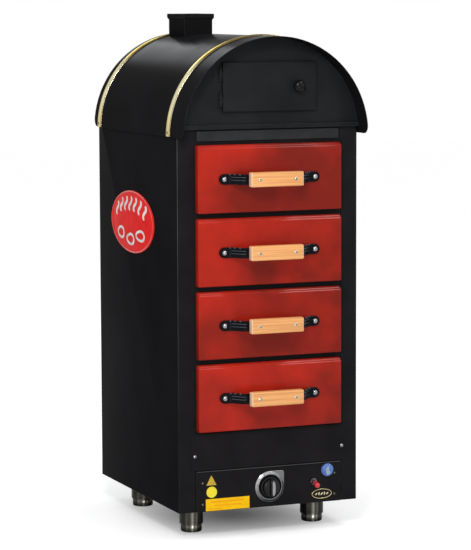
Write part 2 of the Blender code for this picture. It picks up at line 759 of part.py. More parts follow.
def drawer_bottom(number):
    """Height of a drawer front's lower edge; drawer 1 is the top one."""
    return LOWEST_DRAWER_HEIGHT + (DRAWER_COUNT - number) * DRAWER_PITCH


def front_frame():
    low = place(-INNER_HALF_WIDTH, FRAME_FRONT, 0.0)
    high = place(INNER_HALF_WIDTH, FRAME_BACK, FRAME_TOP)
    frame = block("front_frame", low, high, BLACK_COAT)
    openings = []
    for number in range(1, DRAWER_COUNT + 1):
        bottom = drawer_bottom(number) + FRONT_OVERLAP
        top = drawer_bottom(number) + DRAWER_HEIGHT - FRONT_OVERLAP
        openings.append((OPENING_HALF_WIDTH, bottom, top))
    openings.append((SERVICE_OPENING_WIDTH / 2, LINER_FLOOR + SERVICE_OPENING_MARGIN,
                     LOWER_PANEL_TOP - SERVICE_OPENING_MARGIN))
    openings.append((CONTROL_OPENING_WIDTH / 2, CONTROL_OPENING_BOTTOM, CONTROL_OPENING_TOP))
    for index, (half, bottom, top) in enumerate(openings):
        cut(frame, block("cut_opening_%d" % index, place(-half, FRAME_FRONT - OVERRUN, bottom),
                         place(half, FRAME_BACK + OVERRUN, top)))
    lamp = rod("cut_frame_lamp", LAMP_COLLAR_RADIUS + LAMP_CLEARANCE, -FRAME_BACK - OVERRUN, OVERRUN,
               place(LAMP_X, 0.0, LAMP_HEIGHT), FACING_FRONT, steps=ROUND_STEPS)
    cut(frame, lamp)
    for hand in (-1, 1):
        cut(frame, screw_hole("cut_frame_lower_%d" % hand, hand * LOWER_SCREW_X, LOWER_SCREW_HEIGHT))
        for label, height in (("low", CONTROL_SCREW_LOW), ("high", CONTROL_SCREW_HIGH)):
            hole = screw_hole("cut_frame_%s_%d" % (label, hand), hand * CONTROL_SCREW_X, height,
                              SMALL_SCREW_RADIUS)
            cut(frame, hole)
    return frame


def fascia_panel():
    low = place(-FASCIA_WIDTH / 2, PANEL_FACE, FASCIA_BOTTOM)
    high = place(FASCIA_WIDTH / 2, SHEET, FASCIA_TOP)
    return pan("fascia_panel", low, high, SHEET, 0.0, (0, 1, 0), BLACK_COAT)


def lower_panel():
    low = place(-LOWER_PANEL_WIDTH / 2, -GAP - SHEET, LOWER_PANEL_BOTTOM)
    high = place(LOWER_PANEL_WIDTH / 2, -GAP, LOWER_PANEL_TOP)
    panel = block("lower_panel", low, high, BLACK_COAT)
    for hand in (-1, 1):
        cut(panel, screw_hole("cut_lower_%d" % hand, hand * LOWER_SCREW_X, LOWER_SCREW_HEIGHT))
    return panel


def control_panel():
    low = place(-CONTROL_WIDTH / 2, PANEL_FACE, 0.0)
    high = place(CONTROL_WIDTH / 2, SHEET, CONTROL_TOP)
    panel = pan("control_panel", low, high, SHEET, 0.0, (0, 1, 0), BLACK_COAT)
    for hand in (-1, 1):
        for height in (CONTROL_SCREW_LOW, CONTROL_SCREW_HIGH):
            join(panel, control_screw(hand, height))
    for label, x, height, radius in (("dial", DIAL_X, DIAL_HEIGHT, SPINDLE_RADIUS + 2 * GAP),
                                     ("toggle", TOGGLE_X, TOGGLE_HEIGHT, BUSHING_RADIUS + GAP),
                                     ("lamp", LAMP_X, LAMP_HEIGHT, LAMP_BARREL_RADIUS + GAP)):
        cut(panel, rod("cut_" + label, radius, -OVERRUN, OVERRUN, place(x, 0.0, height),
                       FACING_FRONT, steps=ROUND_STEPS))
    return panel


def screw_profile(head_radius, head_height, shank_radius, shank_length):
    """A domed head above local Z zero and its shank below."""
    return [(0.0, head_height), (head_radius * 0.55, head_height * 0.9), (head_radius * 0.9, head_height * 0.5),
            (head_radius, 0.0), (shank_radius, 0.0), (shank_radius, -shank_length), (0.0, -shank_length)]


def lower_panel_screw(name, hand):
    """One of the two screws that hold the lower panel to the posts."""
    reach = PANEL_SEAT + FRAME_BACK + SCREW_TAIL
    at = place(hand * LOWER_SCREW_X, -PANEL_SEAT, LOWER_SCREW_HEIGHT)
    profile = screw_profile(SCREW_HEAD_RADIUS, SCREW_HEAD_HEIGHT, SCREW_RADIUS, reach)
    return turned(name, profile, at, FACING_FRONT, BRIGHT_STEEL, HOLE_STEPS)


def control_screw(hand, height):
    """A panel screw, made in one piece with the control panel."""
    reach = PANEL_PROUD + FRAME_BACK + SCREW_TAIL
    profile = screw_profile(SMALL_HEAD_RADIUS, SMALL_HEAD_HEIGHT, SMALL_SCREW_RADIUS, reach)
    return turned("join_control_screw", sunk(profile, GAP), place(hand * CONTROL_SCREW_X, PANEL_FACE, height),
                  FACING_FRONT, steps=HOLE_STEPS)


def trim_screw(hand, depth):
    """A strip's end screw, made in one piece with the strip."""
    outside = ROOF_RADIUS + GAP + STRIP_THICKNESS
    reach = outside - HALF_WIDTH + SHEET + SCREW_TAIL
    profile = screw_profile(SCREW_HEAD_RADIUS, SCREW_HEAD_HEIGHT, SCREW_RADIUS, reach)
    at = place(hand * outside, depth, ROOF_CENTRE_HEIGHT + STRIP_SCREW_RISE)
    return turned("join_trim_screw", sunk(profile, STRIP_THICKNESS / 4), at,
                  FACING_RIGHT if hand > 0 else FACING_LEFT, steps=HOLE_STEPS)


def sunk(profile, depth):
    """The same screw with its head's seat a little under the face, so that the two join."""
    return [(radius, height - depth if height == 0.0 else height) for radius, height in profile]


# Roof, gables and chimney

def arch_outline(radius, height, steps):
    """An arch about the roof's centre, closed by a level line at a height above that centre."""
    low = math.degrees(math.asin(height / radius))
    return arc_points(radius, low, 180 - low, steps)


def roof_sheet():
    depth = ROOF_FRONT_OVERHANG + BODY_DEPTH + ROOF_REAR_OVERHANG
    rear = place(0.0, BODY_DEPTH + ROOF_REAR_OVERHANG, ROOF_CENTRE_HEIGHT)
    path = arch_outline(ROOF_RADIUS, EAVE_RISE, ARCH_STEPS)
    roof = folded_sheet("roof_sheet", path, depth, SHEET, rear, FACING_FRONT, BLACK_COAT)
    radius = ROOF_CORNER_RADIUS
    crown = ROOF_RADIUS + OVERRUN
    side = arc_points(radius, 180, 270, 4, (radius, EAVE_RISE + radius))
    side += arc_points(radius, 270, 360, 4, (depth - radius, EAVE_RISE + radius))
    side += [(depth, crown), (0.0, crown)]
    front = place(-ROOF_RADIUS - OVERRUN, -ROOF_FRONT_OVERHANG, ROOF_CENTRE_HEIGHT)
    mask = prism("keep_roof_side", [side], 2 * (ROOF_RADIUS + OVERRUN), front, FACING_RIGHT)
    combine(roof, mask, "INTERSECT")
    half = Vector((CHIMNEY_WIDTH / 2 + GAP, CHIMNEY_DEPTH / 2 + GAP, 0.0))
    middle = place(CHIMNEY_X, CHIMNEY_MIDDLE, 0.0)
    low = middle - half + Vector((0.0, 0.0, ROOF_CENTRE_HEIGHT + ROOF_RADIUS / 2))
    high = middle + half + Vector((0.0, 0.0, CHIMNEY_TOP))
    cut(roof, block("cut_roof_chimney", low, high))
    for hand in (-1, 1):
        for label, strip in (("front", FRONT_STRIP_DEPTH), ("rear", REAR_STRIP_DEPTH)):
            cut(roof, side_screw_hole("cut_roof_%s_%d" % (label, hand), hand, strip))
    shade_round(roof)
    return roof


def roof_trim_strip(name, depth):
    """A half-round brass strip over the arch, with its end screws."""
    inner = ROOF_RADIUS + GAP
    outer = inner + STRIP_THICKNESS
    arch = arch_outline(outer, EAVE_RISE, ARCH_STEPS)
    arch += list(reversed(arch_outline(inner, EAVE_RISE, ARCH_STEPS)))
    strip = prism(name, [arch], STRIP_WIDTH, place(0.0, depth + STRIP_WIDTH / 2, ROOF_CENTRE_HEIGHT),
                  FACING_FRONT, BRASS)

    def on_top(first, second):
        return min(math.hypot(first.x, first.y), math.hypot(second.x, second.y)) > outer - GAP

    round_edges(strip, on_top, STRIP_EDGE)
    shade_round(strip)
    return join(strip, trim_screw(-1, depth), trim_screw(1, depth))


def gable_outline():
    return arch_outline(GABLE_RADIUS, LEDGE_BOTTOM - ROOF_CENTRE_HEIGHT, ARCH_STEPS)


def gable_front():
    centre = ROOF_CENTRE_HEIGHT
    hole = rectangle(DOOR_CENTRE_X - DOOR_HALF_WIDTH + DOOR_LAP, DOOR_BOTTOM + DOOR_LAP - centre,
                     DOOR_CENTRE_X + DOOR_HALF_WIDTH - DOOR_LAP, DOOR_TOP - DOOR_LAP - centre)
    gable = prism("gable_front", [gable_outline(), hole], SHEET, place(0.0, -GAP, centre),
                  FACING_FRONT, BLACK_COAT)
    ledge_half = math.sqrt(GABLE_RADIUS ** 2 - (LEDGE_TOP - centre) ** 2)
    ledge = block("join_ledge", place(-ledge_half, -LEDGE_REACH, LEDGE_BOTTOM),
                  place(ledge_half, -GAP, LEDGE_TOP))
    return join(gable, ledge)


def gable_rear():
    return prism("gable_rear", [gable_outline()], SHEET,
                 place(0.0, BODY_DEPTH + GAP + SHEET, ROOF_CENTRE_HEIGHT), FACING_FRONT, BLACK_COAT)


def chimney():
    """A square flue that stands on the lining, passes the roof and flares at its top."""
    bottom = LINER_TOP + GAP
    height = CHIMNEY_TOP + OVERRUN - bottom
    bm = bmesh.new()
    size = Matrix.Diagonal((CHIMNEY_WIDTH, CHIMNEY_DEPTH, height, 1.0))
    bmesh.ops.create_cube(bm, size=1.0, matrix=size)
    ends = [face for face in bm.faces if abs(face.normal.z) > 0.9]
    bmesh.ops.delete(bm, geom=ends, context="FACES_ONLY")
    flare_end = height / 2 - OVERRUN - CHIMNEY_LIP
    flare_start = flare_end - CHIMNEY_FLARE_HEIGHT
    for level in (flare_start, flare_end):
        bmesh.ops.bisect_plane(bm, geom=bm.verts[:] + bm.edges[:] + bm.faces[:],
                               plane_co=(0.0, 0.0, level), plane_no=(0.0, 0.0, 1.0))
    for vert in bm.verts:
        if vert.co.z > flare_start + GAP:
            vert.co.x += math.copysign(CHIMNEY_FLARE, vert.co.x)
            vert.co.y += math.copysign(CHIMNEY_FLARE, vert.co.y)
    mesh = bpy.data.meshes.new("chimney")
    bm.to_mesh(mesh)
    bm.free()
    flue = add_object("chimney", mesh, BLACK_COAT, place(CHIMNEY_X, CHIMNEY_MIDDLE, bottom + height / 2))
    skin = flue.modifiers.new("sheet", "SOLIDIFY")
    skin.thickness = SHEET
    skin.offset = -1.0
    skin.use_even_offset = True
    reach = CHIMNEY_DEPTH + OVERRUN
    trim = block("cut_chimney_top", place(CHIMNEY_X - reach, CHIMNEY_MIDDLE - reach, CHIMNEY_TOP),
                 place(CHIMNEY_X + reach, CHIMNEY_MIDDLE + reach, CHIMNEY_TOP + 2 * OVERRUN))
    return cut(flue, trim)


def top_compartment():
    left = DOOR_CENTRE_X - DOOR_HALF_WIDTH + DOOR_LAP - LINER_SHEET
    right = DOOR_CENTRE_X + DOOR_HALF_WIDTH - DOOR_LAP + LINER_SHEET
    low = place(left, 0.0, DOOR_BOTTOM + DOOR_LAP - LINER_SHEET)
    high = place(right, COMPARTMENT_DEPTH, DOOR_TOP - DOOR_LAP + LINER_SHEET)
    return pan("top_compartment", low, high, LINER_SHEET, 0.0, (0, -1, 0), GALVANISED)


# Gable door and its hinges

DOOR_BACK = GABLE_FACE - GAP
DOOR_FACE = DOOR_BACK - DOOR_DEPTH
DOOR_LEFT = DOOR_CENTRE_X - DOOR_HALF_WIDTH
DOOR_RIGHT = DOOR_CENTRE_X + DOOR_HALF_WIDTH
HINGE_X = DOOR_LEFT - HINGE_SETBACK
HINGE_DEPTH = GABLE_FACE - GAP - KNUCKLE_RADIUS
HINGE_HEIGHTS = (DOOR_BOTTOM + HINGE_INSET, DOOR_TOP - HINGE_INSET - HINGE_LENGTH)
KNUCKLE_LENGTH = (HINGE_LENGTH - 2 * KNUCKLE_GAP) / 3
DOOR_AXIS = place(HINGE_X, HINGE_DEPTH, (DOOR_BOTTOM + DOOR_TOP) / 2)


def gable_door():
    door = pan("gable_door", place(DOOR_LEFT, DOOR_FACE, DOOR_BOTTOM), place(DOOR_RIGHT, DOOR_BACK, DOOR_TOP),
               DOOR_SHEET, DOOR_EDGE_RADIUS, (0, 1, 0), BLACK_COAT)
    knob_hole = rod("cut_door_knob", DOOR_KNOB_NECK_RADIUS / 2 + GAP, -OVERRUN, OVERRUN,
                    place(DOOR_KNOB_X, DOOR_FACE + DOOR_SHEET / 2, (DOOR_BOTTOM + DOOR_TOP) / 2),
                    FACING_FRONT)
    cut(door, knob_hole)
    middle_parts = [knob_hole]
    for number, foot in enumerate(HINGE_HEIGHTS):
        bottom = foot + KNUCKLE_LENGTH + KNUCKLE_GAP
        knuckle = rod("join_knuckle_%d" % number, KNUCKLE_RADIUS, 0.0, KNUCKLE_LENGTH,
                      place(HINGE_X, HINGE_DEPTH, bottom), FACING_UP, steps=ROUND_STEPS)
        leaf = block("join_leaf_%d" % number,
                     place(HINGE_X, HINGE_DEPTH - HINGE_LEAF_THICKNESS / 2, bottom),
                     place(DOOR_LEFT + DOOR_SHEET / 2, HINGE_DEPTH + HINGE_LEAF_THICKNESS / 2,
                           bottom + KNUCKLE_LENGTH))
        bore = rod("cut_knuckle_%d" % number, HINGE_PIN_RADIUS + GAP, -OVERRUN, KNUCKLE_LENGTH + OVERRUN,
                   place(HINGE_X, HINGE_DEPTH, bottom), FACING_UP)
        join(door, knuckle, leaf)
        cut(door, bore)
        middle_parts += [knuckle, leaf, bore]
    return door, middle_parts


def gable_hinge(label, foot):
    """The leaf on the gable with its two outer knuckles, and the pin through all three."""
    leaf = block("gable_hinge_" + label,
                 place(HINGE_X - HINGE_LEAF_WIDTH, GABLE_FACE - GAP - HINGE_LEAF_THICKNESS, foot),
                 place(HINGE_X, GABLE_FACE - GAP, foot + HINGE_LENGTH), BLACK_COAT)
    clear = KNUCKLE_RADIUS + KNUCKLE_GAP
    pocket = block("cut_leaf_" + label,
                   place(HINGE_X - clear, GABLE_FACE - OVERRUN, foot + KNUCKLE_LENGTH),
                   place(HINGE_X + OVERRUN, GABLE_FACE + OVERRUN, foot + HINGE_LENGTH - KNUCKLE_LENGTH))
    cut(leaf, pocket)
    for end, start in (("low", foot), ("high", foot + HINGE_LENGTH - KNUCKLE_LENGTH)):
        join(leaf, rod("join_%s_%s" % (label, end), KNUCKLE_RADIUS, 0.0, KNUCKLE_LENGTH,
                       place(HINGE_X, HINGE_DEPTH, start), FACING_UP, steps=ROUND_STEPS))
    cut(leaf, rod("cut_pin_" + label, HINGE_PIN_RADIUS + GAP, -OVERRUN, HINGE_LENGTH + OVERRUN,
                  place(HINGE_X, HINGE_DEPTH, foot), FACING_UP))
    head = GAP + HINGE_LEAF_THICKNESS
    profile = [(0.0, HINGE_LENGTH + head), (HINGE_PIN_RADIUS * 1.6, HINGE_LENGTH + head),
               (HINGE_PIN_RADIUS * 1.6, HINGE_LENGTH + GAP), (HINGE_PIN_RADIUS, HINGE_LENGTH + GAP),
               (HINGE_PIN_RADIUS, 0.0), (0.0, 0.0)]
    turned("gable_hinge_pin_" + label, profile, place(HINGE_X, HINGE_DEPTH, foot), FACING_UP, BRIGHT_STEEL,
           HOLE_STEPS)
    return leaf


def gable_door_knob():
    """A round knob on a neck, with a short stud through the door."""
    radius = DOOR_KNOB_RADIUS
    half = (DOOR_KNOB_REACH - DOOR_KNOB_NECK) / 2
    centre = DOOR_KNOB_REACH - half
    neck = DOOR_KNOB_NECK_RADIUS
    stud = neck / 2
    profile = [(radius * math.sin(math.radians(angle)), centre + half * math.cos(math.radians(angle)))
               for angle in range(0, 151, 25)]
    profile += [(neck, GAP), (stud, GAP), (stud, -DOOR_DEPTH / 2), (0.0, -DOOR_DEPTH / 2)]
    at = place(DOOR_KNOB_X, DOOR_FACE, (DOOR_BOTTOM + DOOR_TOP) / 2)
    return turned("gable_door_knob", profile, at, FACING_FRONT, BLACK_PLASTIC)


# Lining, insulation, runners and heating

def element_run():
    """Half the plan of the element: in from the rear, round a bend at the front and back to the middle."""
    bend = (ELEMENT_OUTER_X - ELEMENT_INNER_X) / 2
    near = ELEMENT_FRONT + bend
    middle = ELEMENT_INNER_X + bend
    far = LINER_BACK - LINER_SHEET - ELEMENT_REAR_CLEARANCE - ELEMENT_INNER_X
    points = [(ELEMENT_OUTER_X, LINER_BACK + ELEMENT_TAIL), (ELEMENT_OUTER_X, near)]
    points += [(middle + bend * math.cos(angle), near - bend * math.sin(angle))
               for angle in (math.pi * step / BEND_STEPS for step in range(1, BEND_STEPS))]
    points += [(ELEMENT_INNER_X, near), (ELEMENT_INNER_X, far)]
    points += [(ELEMENT_INNER_X * math.cos(angle), far + ELEMENT_INNER_X * math.sin(angle))
               for angle in (math.pi * step / BEND_STEPS for step in range(1, BEND_STEPS // 2))]
    return points


def heating_element():
    """A sheathed element bent into four runs over the lining's floor, its ends out at the rear."""
    half = element_run()
    crown = (0.0, LINER_BACK - LINER_SHEET - ELEMENT_REAR_CLEARANCE)
    run = half + [crown] + [(-x, depth) for x, depth in reversed(half)]
    points = [place(x, depth, ELEMENT_HEIGHT) for x, depth in run]
    item = add_object("heating_element", tube_mesh("heating_element", [points], ELEMENT_RADIUS, 2), BRUSHED_STEEL)
    shade_round(item)
    return item


def oven_liner():
    low = place(-LINER_HALF_WIDTH, LINER_FRONT, LINER_BOTTOM)
    high = place(LINER_HALF_WIDTH, LINER_BACK, LINER_TOP)
    liner = pan("oven_liner", low, high, LINER_SHEET, 0.0, (0, -1, 0), GALVANISED)
    half = Vector((CHIMNEY_WIDTH / 2 - SHEET, CHIMNEY_DEPTH / 2 - SHEET, 0.0))
    middle = place(CHIMNEY_X, CHIMNEY_MIDDLE, LINER_TOP)
    cut(liner, block("cut_flue", middle - half - Vector((0, 0, OVERRUN)), middle + half + Vector((0, 0, OVERRUN))))
    for hand in (-1, 1):
        hole = rod("cut_element_%d" % hand, ELEMENT_RADIUS + GAP, -OVERRUN, OVERRUN,
                   place(hand * ELEMENT_OUTER_X, LINER_BACK - LINER_SHEET / 2, ELEMENT_HEIGHT), FACING_FRONT)
        cut(liner, hole)
    cut(liner, rod("cut_bulb", BULB_RADIUS + GAP, -OVERRUN, OVERRUN,
                   place(BULB_X, LINER_BACK - LINER_SHEET / 2, BULB_HEIGHT), FACING_FRONT))
    return liner


def insulation_blanket():
    """Mineral wool round the lining on every side but the front, cut away for the wiring and the flue."""
    rear_face = BODY_DEPTH - SHEET - GAP
    inside = LINER_HALF_WIDTH + GAP
    front = FRAME_BACK + SCREW_TAIL + GAP
    blanket = block("insulation_blanket", place(-INNER_HALF_WIDTH, front, DECK_TOP + GAP),
                    place(INNER_HALF_WIDTH, rear_face, BATT_TOP), MINERAL_WOOL)
    room = block("cut_blanket_room", place(-inside, LINER_FRONT - OVERRUN, LINER_BOTTOM - GAP),
                 place(inside, LINER_BACK + GAP, LINER_TOP + GAP))
    wiring = block("cut_blanket_wiring", place(-WIRING_WIDTH / 2, LINER_BACK + GAP - OVERRUN, DECK_TOP - OVERRUN),
                   place(WIRING_WIDTH / 2, rear_face + OVERRUN, REAR_BATT_BOTTOM))
    half = Vector((CHIMNEY_WIDTH / 2 + FLUE_CLEARANCE, CHIMNEY_DEPTH / 2 + FLUE_CLEARANCE, 0.0))
    middle = place(CHIMNEY_X, CHIMNEY_MIDDLE, 0.0)
    flue = block("cut_blanket_flue", middle - half + Vector((0, 0, LINER_TOP - OVERRUN)),
                 middle + half + Vector((0, 0, BATT_TOP + OVERRUN)))
    return cut(blanket, room, wiring, flue)


def tray_under(number):
    """Height of the underside of a tray's floor."""
    return drawer_bottom(number) + FRONT_OVERLAP + TRAY_FLOOR_CLEARANCE


def drawer_runners(name, hand):
    """A side rack: a plate on the lining's wall with a ledge under the edge of each tray's floor."""
    inner = TRAY_HALF_WIDTH - RUNNER_LAP
    wall = LINER_INNER_HALF - GAP
    tops = [tray_under(number) - GAP for number in range(DRAWER_COUNT, 0, -1)]
    outline = [(wall, tops[-1]), (wall, tops[0] - RUNNER_DROP), (wall - SHEET, tops[0] - RUNNER_DROP)]
    for top in tops:
        outline += [(wall - SHEET, top - SHEET), (inner, top - SHEET), (inner, top)]
        if top < tops[-1]:
            outline += [(wall - SHEET, top)]
    if hand < 0:
        outline = [(-x, z) for x, z in reversed(outline)]
    front = LINER_FRONT + RUNNER_END_CLEARANCE
    rear = LINER_BACK - LINER_SHEET - RUNNER_END_CLEARANCE
    return prism(name, [outline], rear - front, place(0.0, rear, 0.0), FACING_FRONT, GALVANISED)


# Controls

def thermostat_bezel():
    """A ring with one square corner at the upper right."""
    radius = BEZEL_RADIUS
    outline = arc_points(radius, 90, 360, ROUND_STEPS) + [(radius, radius)]
    hole = ellipse_points(BEZEL_HOLE_RADIUS, BEZEL_HOLE_RADIUS, FINE_STEPS)
    bezel = prism("thermostat_bezel", [outline, hole], BEZEL_THICKNESS,
                  place(DIAL_X, PANEL_FACE - GAP, DIAL_HEIGHT), FACING_FRONT, BRIGHT_STEEL)

    def on_face(first, second):
        return min(first.z, second.z) > BEZEL_THICKNESS - GAP

    round_edges(bezel, on_face, BEZEL_EDGE)
    shade_round(bezel)
    return bezel


def thermostat_knob():
    """A skirted knob with a grip bar and its spindle."""
    back = GAP
    profile = [(0.0, KNOB_CORE_HEIGHT), (KNOB_CORE_RADIUS, KNOB_CORE_HEIGHT),
               (KNOB_CORE_RADIUS + KNOB_EDGE, KNOB_SKIRT), (KNOB_RADIUS - KNOB_EDGE, KNOB_SKIRT),
               (KNOB_RADIUS, KNOB_SKIRT - KNOB_EDGE), (KNOB_RADIUS, back), (SPINDLE_RADIUS, back),
               (SPINDLE_RADIUS, -SPINDLE_DEPTH), (0.0, -SPINDLE_DEPTH)]
    at = place(DIAL_X, PANEL_FACE, DIAL_HEIGHT)
    knob = turned("thermostat_knob", profile, at, FACING_FRONT, BLACK_PLASTIC)
    half = KNOB_BAR_WIDTH / 2
    reach = KNOB_BAR_LENGTH / 2
    bar = prism("join_knob_bar", [rectangle(-half, -reach, half, reach)], KNOB_HEIGHT - KNOB_SKIRT / 2,
                place(DIAL_X, PANEL_FACE - KNOB_SKIRT / 2, DIAL_HEIGHT), FACING_FRONT)

    def near_top(first, second):
        return max(first.z, second.z) > KNOB_HEIGHT - KNOB_SKIRT / 2 - GAP

    round_edges(bar, near_top, KNOB_EDGE)
    join(knob, bar)
    return knob, bar


def thermostat_body():
    """The thermostat behind the panel, with its capillary and the bulb in the oven."""
    half = THERMOSTAT_SIZE / 2
    body = block("thermostat_body", place(DIAL_X - half, GAP, DIAL_HEIGHT - half),
                 place(DIAL_X + half, THERMOSTAT_DEPTH, DIAL_HEIGHT + half), BLACK_PLASTIC)
    cut(body, rod("cut_spindle", SPINDLE_RADIUS + GAP, -SPINDLE_DEPTH - OVERRUN, OVERRUN,
                  place(DIAL_X, 0.0, DIAL_HEIGHT), FACING_FRONT))
    duct = LINER_BACK + (BODY_DEPTH - LINER_BACK) / 2
    corner = duct - LINER_BACK
    bend = corner / 2
    start = THERMOSTAT_DEPTH - OVERRUN
    run = [(DIAL_X, start, DIAL_HEIGHT), (DIAL_X, THERMOSTAT_DEPTH + bend, DIAL_HEIGHT),
           (BULB_X - bend, THERMOSTAT_DEPTH + BULB_X, DIAL_HEIGHT),
           (BULB_X, THERMOSTAT_DEPTH + BULB_X + bend, DIAL_HEIGHT),
           (BULB_X, duct - bend, DIAL_HEIGHT), (BULB_X, duct, DIAL_HEIGHT + bend),
           (BULB_X, duct, BULB_HEIGHT - bend), (BULB_X, duct - bend / 2, BULB_HEIGHT - bend / 4),
           (BULB_X, duct - bend, BULB_HEIGHT), (BULB_X, LINER_BACK - OVERRUN, BULB_HEIGHT)]
    tube = add_object("join_capillary", tube_mesh("join_capillary", [[place(*point) for point in run]],
                                                  CAPILLARY_RADIUS, 1), None)
    bulb = rod("join_bulb", BULB_RADIUS, 0.0, BULB_LENGTH, place(BULB_X, LINER_BACK + OVERRUN, BULB_HEIGHT),
               FACING_FRONT)
    return join(body, tube, bulb)


def toggle_switch_body():
    half_width = TOGGLE_BODY_WIDTH / 2
    half_height = TOGGLE_BODY_HEIGHT / 2
    body = block("toggle_switch_body", place(TOGGLE_X - half_width, GAP, TOGGLE_HEIGHT - half_height),
                 place(TOGGLE_X + half_width, TOGGLE_BODY_DEPTH, TOGGLE_HEIGHT + half_height), BLACK_PLASTIC)
    at = place(TOGGLE_X, PANEL_FACE, TOGGLE_HEIGHT)
    bushing = rod("join_bushing", BUSHING_RADIUS, -PANEL_PROUD - OVERRUN, BUSHING_REACH, at, FACING_FRONT,
                  steps=ROUND_STEPS)
    bore = rod("cut_bushing", BUSHING_BORE_RADIUS, -PANEL_PROUD, BUSHING_REACH + OVERRUN, at, FACING_FRONT,
               steps=ROUND_STEPS)
    nut = rod("join_nut", NUT_RADIUS, GAP, GAP + NUT_THICKNESS, at, FACING_FRONT, steps=6)
    join(body, bushing, nut)
    return cut(body, bore)


TOGGLE_PIVOT = place(TOGGLE_X, PANEL_FACE - BUSHING_REACH + LEVER_PIVOT_INSET, TOGGLE_HEIGHT)


def toggle_lever():
    """A ball, a stub and a red cap with a round end, tilted down about the pivot."""
    end = LEVER_CAP_START + LEVER_CAP_LENGTH
    tip = LEVER_CAP_RADIUS
    profile = [(tip * math.sin(math.radians(angle)), end - tip + tip * math.cos(math.radians(angle)))
               for angle in (0, 30, 60, 90)]
    profile += [(LEVER_CAP_ROOT_RADIUS, LEVER_CAP_START), (LEVER_STUB_RADIUS, LEVER_CAP_START)]
    ball_top = math.sqrt(LEVER_BALL_RADIUS ** 2 - LEVER_STUB_RADIUS ** 2)
    profile += [(LEVER_STUB_RADIUS, ball_top), (LEVER_BALL_RADIUS, 0.0),
                (LEVER_STUB_RADIUS, -ball_top), (0.0, -LEVER_BALL_RADIUS)]
    turn = (math.radians(90 + LEVER_TILT), 0.0, 0.0)
    return turned("toggle_lever", profile, TOGGLE_PIVOT, turn, RED_PLASTIC)


def pilot_lamp_lens():
    rim = LENS_RIM
    profile = [(LENS_RADIUS * math.sin(math.radians(angle)), rim + LENS_RISE * math.cos(math.radians(angle)))
               for angle in (0, 25, 50, 75)]
    profile += [(LENS_RADIUS, rim), (LENS_RADIUS, GAP), (0.0, GAP)]
    return turned("pilot_lamp_lens", profile, place(LAMP_X, PANEL_FACE, LAMP_HEIGHT), FACING_FRONT, BLUE_LENS)


def pilot_lamp_body():
    """The lamp's barrel through the panel, with its nut behind."""
    behind = PANEL_FACE + SHEET + GAP
    front = -PANEL_FACE
    profile = [(0.0, front), (LAMP_BARREL_RADIUS, front), (LAMP_BARREL_RADIUS, -GAP),
               (LAMP_COLLAR_RADIUS, -GAP), (LAMP_COLLAR_RADIUS, -GAP - LAMP_COLLAR_THICKNESS),
               (LAMP_BARREL_RADIUS, -GAP - LAMP_COLLAR_THICKNESS),
               (LAMP_BARREL_RADIUS, -LAMP_BARREL_DEPTH), (0.0, -LAMP_BARREL_DEPTH)]
    return turned("pilot_lamp_body", profile, place(LAMP_X, behind - GAP, LAMP_HEIGHT), FACING_FRONT,
                  BLACK_PLASTIC)


def oval_badge():
    """A small oval badge with a raised rim round a bare field."""
    at = place(BADGE_X, PANEL_FACE - GAP, BADGE_HEIGHT)
    badge = prism("oval_badge", [ellipse_points(BADGE_HALF_WIDTH, BADGE_HALF_HEIGHT, FINE_STEPS)],
                  BADGE_THICKNESS, at, FACING_FRONT, BRASS)
    field = [ellipse_points(BADGE_HALF_WIDTH - BADGE_RIM, BADGE_HALF_HEIGHT - BADGE_RIM, FINE_STEPS)]
    above = at - Vector((0.0, BADGE_THICKNESS - BADGE_FIELD_DEPTH, 0.0))
    return cut(badge, prism("cut_badge_field", field, OVERRUN, above, FACING_FRONT))


def side_plate():
    """A domed oval enamel plate pressed from sheet, with a flat rim."""
    rim = SIDE_PLATE_RIM_SHARE
    shoulder = SIDE_PLATE_SHOULDER_SHARE
    top, low = SIDE_PLATE_DOME, SIDE_PLATE_SHEET
    back = GAP
    outer = [(0.0, top), (shoulder / 2, top * 0.97), (shoulder, top * 0.84), ((shoulder + rim) / 2, top * 0.58),
             (rim, low + back + low / 2), (1.0, low + back), (1.0, back)]
    inner = [(rim, back), ((shoulder + rim) / 2, top * 0.58 - low), (shoulder, top * 0.84 - low), (0.0, top - low)]
    mesh = turned_mesh("side_plate", outer + inner, FINE_STEPS + ROUND_STEPS // 3)
    mesh.transform(Matrix.Diagonal((SIDE_PLATE_HALF_WIDTH, SIDE_PLATE_HALF_HEIGHT, 1.0, 1.0)))
    item = add_object("side_plate", mesh, PLATE_RED, place(-HALF_WIDTH, SIDE_PLATE_DEPTH, SIDE_PLATE_HEIGHT),
                      FACING_LEFT)
    shade_round(item)
    return item


# Rear fittings

def cable_gland():
    """A gland through the rear panel with a flange each side and its bore open."""
    outside = SHEET + GAP
    profile = [(GLAND_BORE_RADIUS, outside + GLAND_REACH - GLAND_FLANGE), (GLAND_NECK_RADIUS, outside + GLAND_REACH
               - GLAND_FLANGE), (GLAND_FLANGE_RADIUS, outside + GLAND_FLANGE), (GLAND_FLANGE_RADIUS, outside),
               (GLAND_NECK_RADIUS, outside), (GLAND_NECK_RADIUS, -GAP), (GLAND_FLANGE_RADIUS, -GAP),
               (GLAND_FLANGE_RADIUS, -GLAND_TAIL), (GLAND_BORE_RADIUS, -GLAND_TAIL)]
    return turned("cable_gland", profile, place(GLAND_X, BODY_DEPTH + GAP, GLAND_HEIGHT), FACING_BACK,
                  BLACK_PLASTIC, closed=True)


